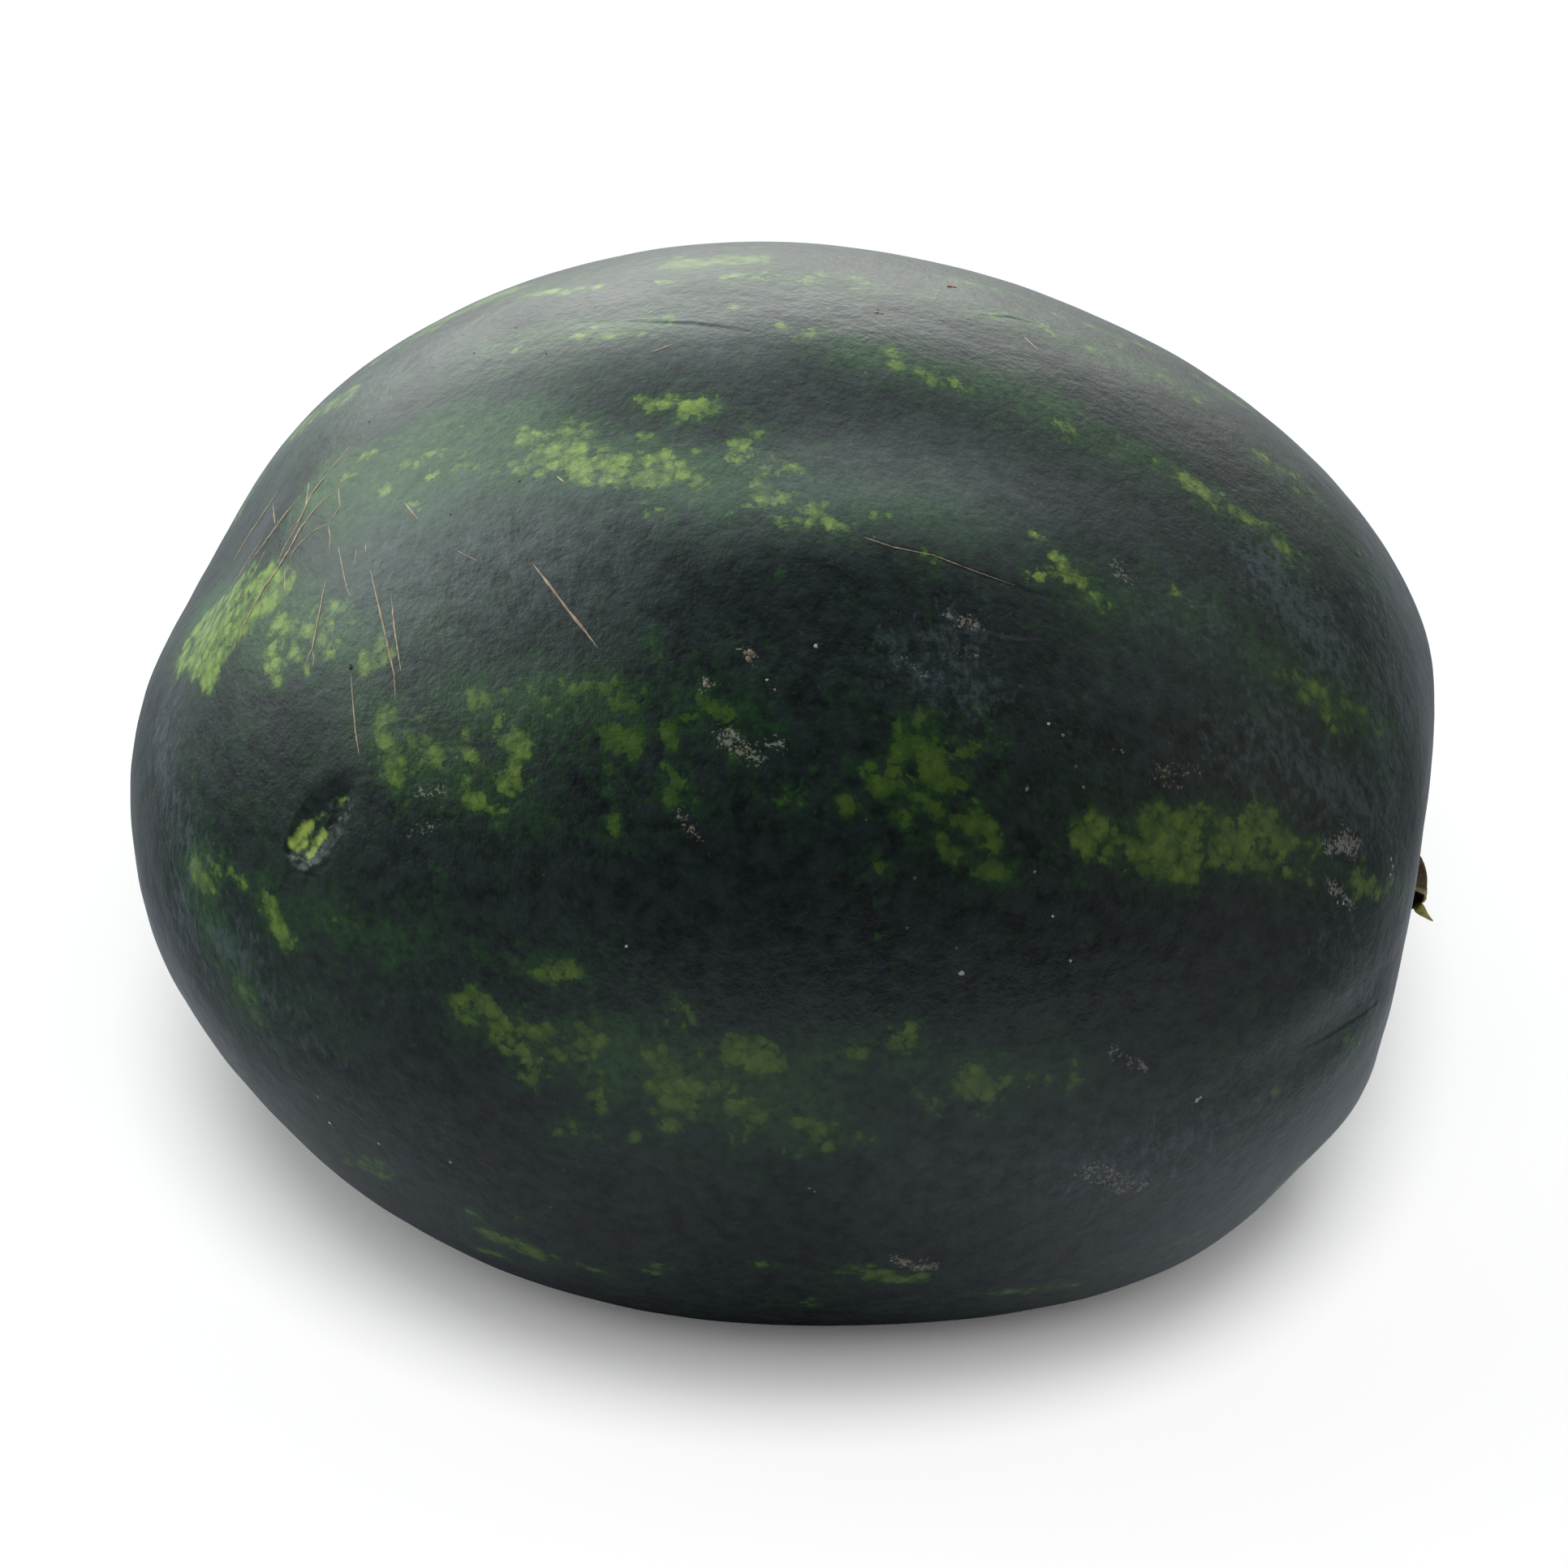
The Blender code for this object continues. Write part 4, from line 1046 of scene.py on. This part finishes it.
curve = bpy.data.curves.new("corky_scratches", "CURVE")
curve.dimensions = "3D"
curve.bevel_depth = 1.0
curve.bevel_resolution = 1
curve.use_fill_caps = True
for radius, corners in SCRATCHES:
    thread(curve, corners, radius)
scratches = bpy.data.objects.new("corky_scratches", curve)
link(scratches)
pick(scratches)
bpy.ops.object.convert(target="MESH")
bpy.ops.object.shade_smooth()

cork, tree, place = new_material("cork")
grain_height, mottle = place_grain(tree, place, 1600.0, 420.0)
pale = mix(tree, ramp(tree, mottle, 0.32, 0.62), *CORK_COLOURS)
rough = ramp(tree, mottle, 0.3, 0.7, 0.65, 0.9)
clothe(scratches, cork, pale, rough, grain_height, strength=0.6, distance=0.0002)
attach(scratches, "root")
print("scratches:", len(SCRATCHES), "threads,", len(scratches.data.polygons), "faces")


# %% [markdown]
# Bits that stand on the skin: pale chips, tan crumbs, a few black specks and a tiny red one on the crown. One
# crumb is shaped from a small ball, and every other is a turned, squashed copy of it. Each keeps its shade as
# a number, which the material turns into one of the four colours.

# %% Chips and specks
BLACK, RED, TAN, PALE = 0.0, 0.35, 0.7, 1.0
# Each chip: its pixel, its radius in millimetres and its shade.
CHIPS = [
    (1185, 1199, 0.6, PALE), (1297, 1129, 0.32, PALE), (1319, 1184, 0.32, PALE), (1475, 1355, 0.62, PALE),
    (1479, 1352, 0.4, PALE), (407, 1384, 0.45, PALE), (467, 1409, 0.4, PALE), (555, 1432, 0.35, PALE),
    (772, 1166, 0.35, PALE), (924, 804, 0.75, TAN), (922, 812, 0.6, TAN), (869, 843, 0.6, TAN),
    (945, 838, 0.3, PALE), (955, 850, 0.28, TAN), (1005, 796, 0.45, PALE), (1265, 973, 0.38, TAN),
    (1275, 1074, 0.36, TAN), (1292, 892, 0.36, PALE), (1310, 906, 0.4, TAN), (1335, 970, 0.36, TAN),
    (1080, 385, 0.55, TAN), (1086, 386, 0.45, TAN), (1082, 381, 0.3, TAN), (1170, 353, 0.72, RED),
    (1176, 354, 0.45, RED), (584, 435, 0.3, BLACK), (673, 436, 0.28, BLACK), (636, 404, 0.24, BLACK),
    (455, 520, 0.3, BLACK), (640, 593, 0.3, BLACK), (555, 634, 0.26, BLACK), (432, 822, 0.62, BLACK),
    (1714, 1058, 0.4, PALE), (1716, 1068, 0.4, PALE), (1713, 1078, 0.45, PALE), (1655, 1113, 0.4, PALE),
    (1648, 1112, 0.32, PALE), (1640, 1100, 0.3, PALE), (997, 1464, 0.4, TAN), (1004, 1468, 0.35, TAN),
]
CHIP_SHARES = [1.0, 0.75, 0.32]
CHIP_TURN = 2.399
CHIP_BLACK = (0.012, 0.012, 0.012)
CHIP_RED = (0.34, 0.035, 0.018)
CHIP_TAN = (0.28, 0.20, 0.14)
CHIP_PALE = (0.58, 0.57, 0.54)
CHIP_DUST = (0.15, 0.12, 0.10)

deselect()
bpy.ops.mesh.primitive_ico_sphere_add(subdivisions=2, radius=1)
crumb = bpy.context.object
crumb.name = "chips"
crumb_points = coordinates(crumb)
bumpy = np.array([1 + 0.45 * noise.noise(Vector(p) * 1.7) for p in crumb_points])
set_coordinates(crumb, crumb_points * bumpy[:, None])
flat = coordinates(crumb) * CHIP_SHARES
copies = []
for number, (x, y, size, shade) in enumerate(CHIPS):
    place, out = on_skin(x, y)
    other = crumb.copy()
    other.data = crumb.data.copy()
    link(other)
    turn = out.to_track_quat("Z", "Y").to_matrix()
    spin = CHIP_TURN * number
    x_axis = flat[:, 0] * cos(spin) - flat[:, 1] * sin(spin)
    y_axis = flat[:, 0] * sin(spin) + flat[:, 1] * cos(spin)
    turned = np.stack([x_axis, y_axis, flat[:, 2]], -1) @ np.array(turn).T
    set_coordinates(other, turned * size / 1000 + np.array(place))
    store(other, "shade", np.full(len(flat), shade))
    copies.append(other)
bpy.data.objects.remove(crumb)
pick(*copies)
bpy.ops.object.join()
chips = bpy.context.object
chips.name = "chips"
bpy.ops.object.shade_smooth()

crumb_finish, tree, place = new_material("crumb")
grain_height, mottle = place_grain(tree, place, 2400.0, 900.0)
shade = attribute(tree, "shade")
chip_colour = mix(tree, ramp(tree, shade, BLACK, RED), CHIP_BLACK, CHIP_RED)
chip_colour = mix(tree, ramp(tree, shade, RED, TAN), chip_colour, CHIP_TAN)
chip_colour = mix(tree, ramp(tree, shade, TAN, PALE), chip_colour, CHIP_PALE)
dusty = mix(tree, ramp(tree, mottle, 0.4, 0.7, 0.0, 0.35), chip_colour, CHIP_DUST)
rough = ramp(tree, grain_height, 0.3, 0.7, 0.6, 0.85)
clothe(chips, crumb_finish, dusty, rough, grain_height, strength=0.5, distance=0.0002)
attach(chips, "root")
print("chips:", len(CHIPS))


# %% [markdown]
# The stub of stem was torn off, not cut: a short, thick, ribbed stalk that leaves the basin, turns to the
# front and ends in a hollow mouth with a pale, ragged edge and one splinter of green bark. It is made as by
# hand, from a circle whose edge is extruded ring by ring, turned and resized along the bend, and then back
# inside to make the hollow.

# %% Stem stub
STEM_SIDES = 40
STEM_RIBS = 5
RIB_SHARE = 0.10

# Each ring in millimetres: height over the skin, drift down, drift to the front, radius.
STEM_RINGS = [
    (-1.4, 0.0, 0.0, 7.2), (0.4, 0.0, 0.0, 7.2), (1.4, 0.0, 0.0, 7.1), (2.6, 0.0, 0.0, 6.9),
    (3.8, 0.2, 0.1, 6.6), (5.0, 0.7, 0.4, 6.1), (6.0, 1.3, 0.9, 5.5), (6.8, 2.0, 1.7, 4.9),
    (7.4, 2.6, 2.7, 4.4), (7.8, 3.1, 3.7, 3.9), (8.0, 3.4, 4.6, 3.6),
]
# Each ring of the hollow: which ring of the stub it lies in, and its share of that ring's radius.
HOLLOW_SHARES = [(10, 0.86), (10, 0.74), (9, 0.68), (8, 0.60), (7, 0.50), (6, 0.30)]
# The splinter's rings, in the same four numbers.
SPLINTER_RINGS = [
    (9.8, 5.0, 4.2, 1.1), (10.6, 5.8, 4.3, 1.25), (11.5, 6.55, 4.3, 0.95), (12.4, 7.25, 4.2, 0.6),
    (13.4, 8.0, 4.1, 0.35), (14.4, 8.6, 4.0, 0.15),
]
RAGGED_ROWS = (9, 12)
RAGGED_HEIGHT = 0.0022
SMOOTH_HEIGHT = 0.0002
BARK_HEIGHT = 0.00035
BARK_COLOURS = ((0.050, 0.026, 0.012), (0.26, 0.155, 0.085))
TORN_EDGE = (0.72, 0.60, 0.28)
# Painted shade: the inside of the hollow mouth is coloured a darker brown than the bark.
HOLLOW_SHADE_COLOURS = ((0.030, 0.013, 0.008), (0.140, 0.075, 0.040))
SPLINTER_COLOURS = ((0.34, 0.27, 0.06), (0.62, 0.56, 0.17))

stem_foot = one_place(oval, *STEM_PLACE)
stem_root = Vector(one_place(skin, *STEM_PLACE) + SHIFT)
stem_out = Vector(one_place(oval_normal, *STEM_PLACE))
to_end = Vector(one_place(oval, STEM_PLACE[0] - 0.01, STEM_PLACE[1]) - stem_foot)
stem_up = (to_end - stem_out * to_end.dot(stem_out)).normalized()
stem_front = stem_out.cross(stem_up)


def stem_place(height, drift, front):
    """From the stub's own directions, in millimetres, to a place on the fruit."""
    return stem_root + (stem_out * height - stem_up * drift + stem_front * front) / 1000


def ring_frames(rings):
    """For each ring, two directions that lie in it, carried along the bend without a twist."""
    path = np.array([ring[:3] for ring in rings])
    across = np.array([0.0, -1.0, 0.0])
    frames = []
    for index in range(len(path)):
        onward = path[min(index + 1, len(path) - 1)] - path[max(index - 1, 0)]
        onward = onward / np.linalg.norm(onward)
        across = across - onward * (across @ onward)
        across = across / np.linalg.norm(across)
        frames.append((across, np.cross(across, onward)))
    return frames


def ring_points(ring, frame, share, ribs):
    around = []
    for number in range(STEM_SIDES):
        angle = 2 * pi * number / STEM_SIDES
        rib = 1 + (RIB_SHARE * cos(STEM_RIBS * angle + 0.6) if ribs else 0)
        offset = ring[3] * share * rib * (cos(angle) * frame[0] + sin(angle) * frame[1])
        around.append(stem_place(*(np.array(ring[:3]) + offset)))
    return np.array(around)


def close_end(obj, row):
    """Fill the open ring of corners in this row with a fan of triangles."""
    pick(obj)
    mode("EDIT")
    bpy.ops.mesh.select_mode(type="VERT")
    bpy.ops.mesh.select_all(action="DESELECT")
    mode("OBJECT")
    for index in range(row * STEM_SIDES, (row + 1) * STEM_SIDES):
        obj.data.vertices[index].select = True
    mode("EDIT")
    bpy.ops.mesh.edge_face_add()
    bpy.ops.mesh.poke()
    mode("OBJECT")


def tube(name, rows):
    """A circle's edge extruded once for each next row, each moved to its place on the bend."""
    deselect()
    bpy.ops.mesh.primitive_circle_add(vertices=STEM_SIDES, radius=rows[0][0][3] / 1000)
    made = bpy.context.object
    made.name = name
    mode("EDIT")
    bpy.ops.mesh.select_all(action="SELECT")
    for _ in rows[1:]:
        bpy.ops.mesh.extrude_edges_move(TRANSFORM_OT_translate={"value": (0, 0, 0.001)})
    mode("OBJECT")
    set_coordinates(made, np.concatenate([ring_points(*row) for row in rows]))
    return made


frames = ring_frames(STEM_RINGS)
rows = [(ring, frame, 1.0, True) for ring, frame in zip(STEM_RINGS, frames)]
rows += [(STEM_RINGS[index], frames[index], share, True) for index, share in HOLLOW_SHARES]
stem = tube("stem_stub", rows)
numbers = np.arange(len(rows) * STEM_SIDES) // STEM_SIDES
stem_points = coordinates(stem)
torn = np.array([noise.noise(Vector(p) * 520) for p in stem_points])
ragged_row = (numbers >= RAGGED_ROWS[0]) & (numbers <= RAGGED_ROWS[1])
mouth = np.array(stem_place(*STEM_RINGS[-1][:3]) - stem_place(*STEM_RINGS[-2][:3]))
mouth = mouth / np.linalg.norm(mouth)
stem_points += mouth * (torn * np.where(ragged_row, RAGGED_HEIGHT, SMOOTH_HEIGHT))[:, None]
rough_bark = np.array([noise.noise(Vector((p[0] * 0.35, p[1], p[2])) * 900) for p in stem_points])
stem_points += np.array(stem_up) * (rough_bark * BARK_HEIGHT)[:, None]
set_coordinates(stem, stem_points)
# Painted shade: the rows of the hollow are marked, so that the material darkens them.
store(stem, "inside", np.clip((numbers - 10.5) / 1.5, 0, 1))
store(stem, "edge", np.clip(1 - np.abs(numbers - 10.6) / 1.3, 0, 1))
close_end(stem, len(rows) - 1)
close_end(stem, 0)

frames = ring_frames(SPLINTER_RINGS)
splinter_rows = [(ring, frame, 1.0, False) for ring, frame in zip(SPLINTER_RINGS, frames)]
splinter = tube("splinter", splinter_rows)
close_end(splinter, len(splinter_rows) - 1)
close_end(splinter, 0)
store(splinter, "splinter", np.ones(len(splinter.data.vertices)))
pick(stem, splinter)
bpy.ops.object.join()
mode("EDIT")
bpy.ops.mesh.select_all(action="SELECT")
bpy.ops.mesh.normals_make_consistent(inside=False)
mode("OBJECT")
smoothing = stem.modifiers.new("smooth", "SUBSURF")
smoothing.levels = 1
smoothing.render_levels = 1
bpy.ops.object.modifier_apply(modifier="smooth")
bpy.ops.object.shade_smooth()

bark, tree, place = new_material("bark")
along = add(tree, "ShaderNodeMapping", {"Vector": place, "Scale": (0.25, 1.0, 1.0)}).outputs["Vector"]
grain_height, mottle = place_grain(tree, along, 2200.0, 700.0)
bark_colour = mix(tree, ramp(tree, mottle, 0.32, 0.68), *BARK_COLOURS)
edge_mask = ramp(tree, shake(tree, attribute(tree, "edge"), mottle, 0.9), 0.28, 0.58)
bark_colour = mix(tree, edge_mask, bark_colour, TORN_EDGE)
# Painted shade inside the hollow mouth: its rows take a darker brown than the bark.
hollow_shade_colour = mix(tree, ramp(tree, grain_height, 0.35, 0.65), *HOLLOW_SHADE_COLOURS)
bark_colour = mix(tree, ramp(tree, attribute(tree, "inside"), 0.35, 0.9), bark_colour, hollow_shade_colour)
splinter_colour = mix(tree, ramp(tree, mottle, 0.35, 0.65), *SPLINTER_COLOURS)
bark_colour = mix(tree, attribute(tree, "splinter"), bark_colour, splinter_colour)
fibres = math(tree, "ADD", times(tree, grain_height, 0.4), times(tree, mottle, 0.6))
rough = ramp(tree, mottle, 0.3, 0.7, 0.7, 0.92)
clothe(stem, bark, bark_colour, rough, fibres, strength=0.8, distance=0.0006)
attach(stem, "root")
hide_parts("stem")


# %% [markdown]
# The light: in the photograph it comes softly from the left and from high up behind, so the top is washed
# with a blue-grey shine, the upper rim glows and the front stays dark. Here it is a surround of a few wide,
# soft glows, each with a direction, a brightness and a tint, which shine like big cloth panels. The camera
# itself sees plain white.

# %% Surround
SOFTNESS = 9.0
# Each glow: its direction, its brightness and its tint.
GLOWS = {
    "low_back": ((-0.06, 0.99, 0.15), 3.85, (0.98, 1.0, 0.95)),
    "low_back_right": ((0.28, 0.95, -0.12), 0.74, (0.98, 1.0, 0.95)),
    "low_back_left": ((-0.59, 0.81, -0.02), 0.52, (0.98, 1.0, 0.95)),
    "left": ((-0.83, 0.21, 0.52), 3.43, (0.90, 1.03, 0.98)),
    "left_back": ((-0.80, 0.54, 0.25), 0.64, (0.90, 1.03, 0.98)),
    "high_left": ((-0.50, 0.53, 0.68), 1.02, (0.88, 1.03, 1.02)),
    "high_back": ((-0.10, 0.52, 0.85), 1.29, (0.88, 1.02, 1.06)),
    "high_right": ((0.44, 0.50, 0.75), 0.48, (0.88, 1.02, 1.06)),
    "overhead": ((0.38, 0.11, 0.92), 0.37, (0.88, 1.02, 1.06)),
    "right": ((0.98, -0.20, -0.05), 0.76, (1.0, 1.01, 0.86)),
    "right_raised": ((0.76, -0.05, 0.65), 0.16, (0.95, 1.01, 1.0)),
}

world = bpy.data.worlds.new("surround")
bpy.context.scene.world = world
world.use_nodes = True
tree = world.node_tree
direction = add(tree, "ShaderNodeTexCoord").outputs["Generated"]
surround = (0.0, 0.0, 0.0)
for towards, brightness, tint in GLOWS.values():
    nearness = vector_math(tree, "DOT_PRODUCT", direction, towards)["Value"]
    fall = math(tree, "EXPONENT", times(tree, math(tree, "SUBTRACT", nearness, 1.0), SOFTNESS))
    surround = mix(tree, fall, surround, [brightness * part for part in tint], "ADD")
camera_ray = add(tree, "ShaderNodeLightPath").outputs["Is Camera Ray"]
tree.links.new(mix(tree, camera_ray, surround, (1, 1, 1)), tree.nodes["Background"].inputs["Color"])
bpy.context.scene.view_settings.view_transform = "Standard"
print("glows:", len(GLOWS))


# %% [markdown]
# The floor does two jobs. To the camera it is a white sheet with the soft shadow that a few wide suns cast on
# it from the front and above, and they shine on the floor alone. To the fruit it is a faint glow, brighter
# behind than in front and dark where the fruit stands, as the skin's reflections show.

# %% Floor
FLOOR_SIZE = 12
# Each ring of glow: its distance, the width of its fall in the logarithm, and its brightness on each side.
FLOOR_GLOWS = {
    "near": (0.17, 0.5, {(1, 0): 0.53, (0, -1): 0.21, (-1, 0): 0.33, (0, 1): 1.2}),
    "far": (0.60, 0.7, {(1, 0): 0.04, (0, -1): 0.98, (0, 1): 0.81}),
}
GLOW_TINT = (1.0, 1.10, 1.2)
FLOOR_PALENESS = 0.08
# Each sun: the direction it stands in, how wide it is in degrees and its strength.
SUNS = {
    "high_front": ((0, -0.5, 1), 20, 17.8),
    "middle_front": ((0, -0.75, 1), 24, 9.1),
    "low_front": ((0, -1, 1), 20, 10.7),
    "low_left": ((-0.4, -1, 1), 20, 3.1),
    "low_right": ((0.4, -1, 1), 20, 3.1),
    "side_left": ((-1.2, 0, 1), 45, 2.4),
    "side_right": ((1.2, 0, 1), 45, 2.4),
}

deselect()
bpy.ops.mesh.primitive_plane_add(size=FLOOR_SIZE)
floor = bpy.context.object
floor.name = "floor"
white, tree, place = new_material("white_floor")
shader = tree.nodes["Principled BSDF"]
from_fruit = vector_math(tree, "LENGTH", place)["Value"]
log_distance = math(tree, "LOGARITHM", math(tree, "MAXIMUM", from_fruit, 0.01), 2.718282)
heading = vector_math(tree, "NORMALIZE", place)["Vector"]
total = 0.0
for middle, width, sides in FLOOR_GLOWS.values():
    offset = math(tree, "DIVIDE", math(tree, "SUBTRACT", log_distance, float(np.log(middle))), width)
    ring = math(tree, "EXPONENT", times(tree, times(tree, offset, offset), -1.0))
    for (x, y), brightness in sides.items():
        facing = vector_math(tree, "DOT_PRODUCT", heading, (x, y, 0))["Value"]
        share = times(tree, times(tree, math(tree, "MAXIMUM", facing, 0.0), ring), brightness)
        total = math(tree, "ADD", share, total)
inputs = {slot: times(tree, total, part) for slot, part in enumerate(GLOW_TINT)}
glow_colour = add(tree, "ShaderNodeCombineColor", inputs).outputs[0]
seen_by_camera = add(tree, "ShaderNodeLightPath").outputs["Is Camera Ray"]
paleness = mix(tree, seen_by_camera, (0, 0, 0), (FLOOR_PALENESS, FLOOR_PALENESS, FLOOR_PALENESS))
tree.links.new(paleness, shader.inputs["Base Color"])
tree.links.new(mix(tree, seen_by_camera, glow_colour, (0, 0, 0)), shader.inputs["Emission Color"])
shader.inputs["Emission Strength"].default_value = 1.0
shader.inputs["Roughness"].default_value = 1.0
shader.inputs["Specular IOR Level"].default_value = 0.0
floor.data.materials.append(white)

floor_only = bpy.data.collections.new("floor_only")
floor_only.objects.link(floor)
for name, (towards, spread, strength) in SUNS.items():
    data = bpy.data.lights.new(f"{name}_sun", "SUN")
    data.angle = radians(spread)
    data.energy = strength
    sun = bpy.data.objects.new(f"{name}_sun", data)
    sun.rotation_euler = Vector(towards).to_track_quat("Z", "Y").to_euler()
    link(sun)
    sun.light_linking.receiver_collection = floor_only
print("floor and", len(SUNS), "suns")
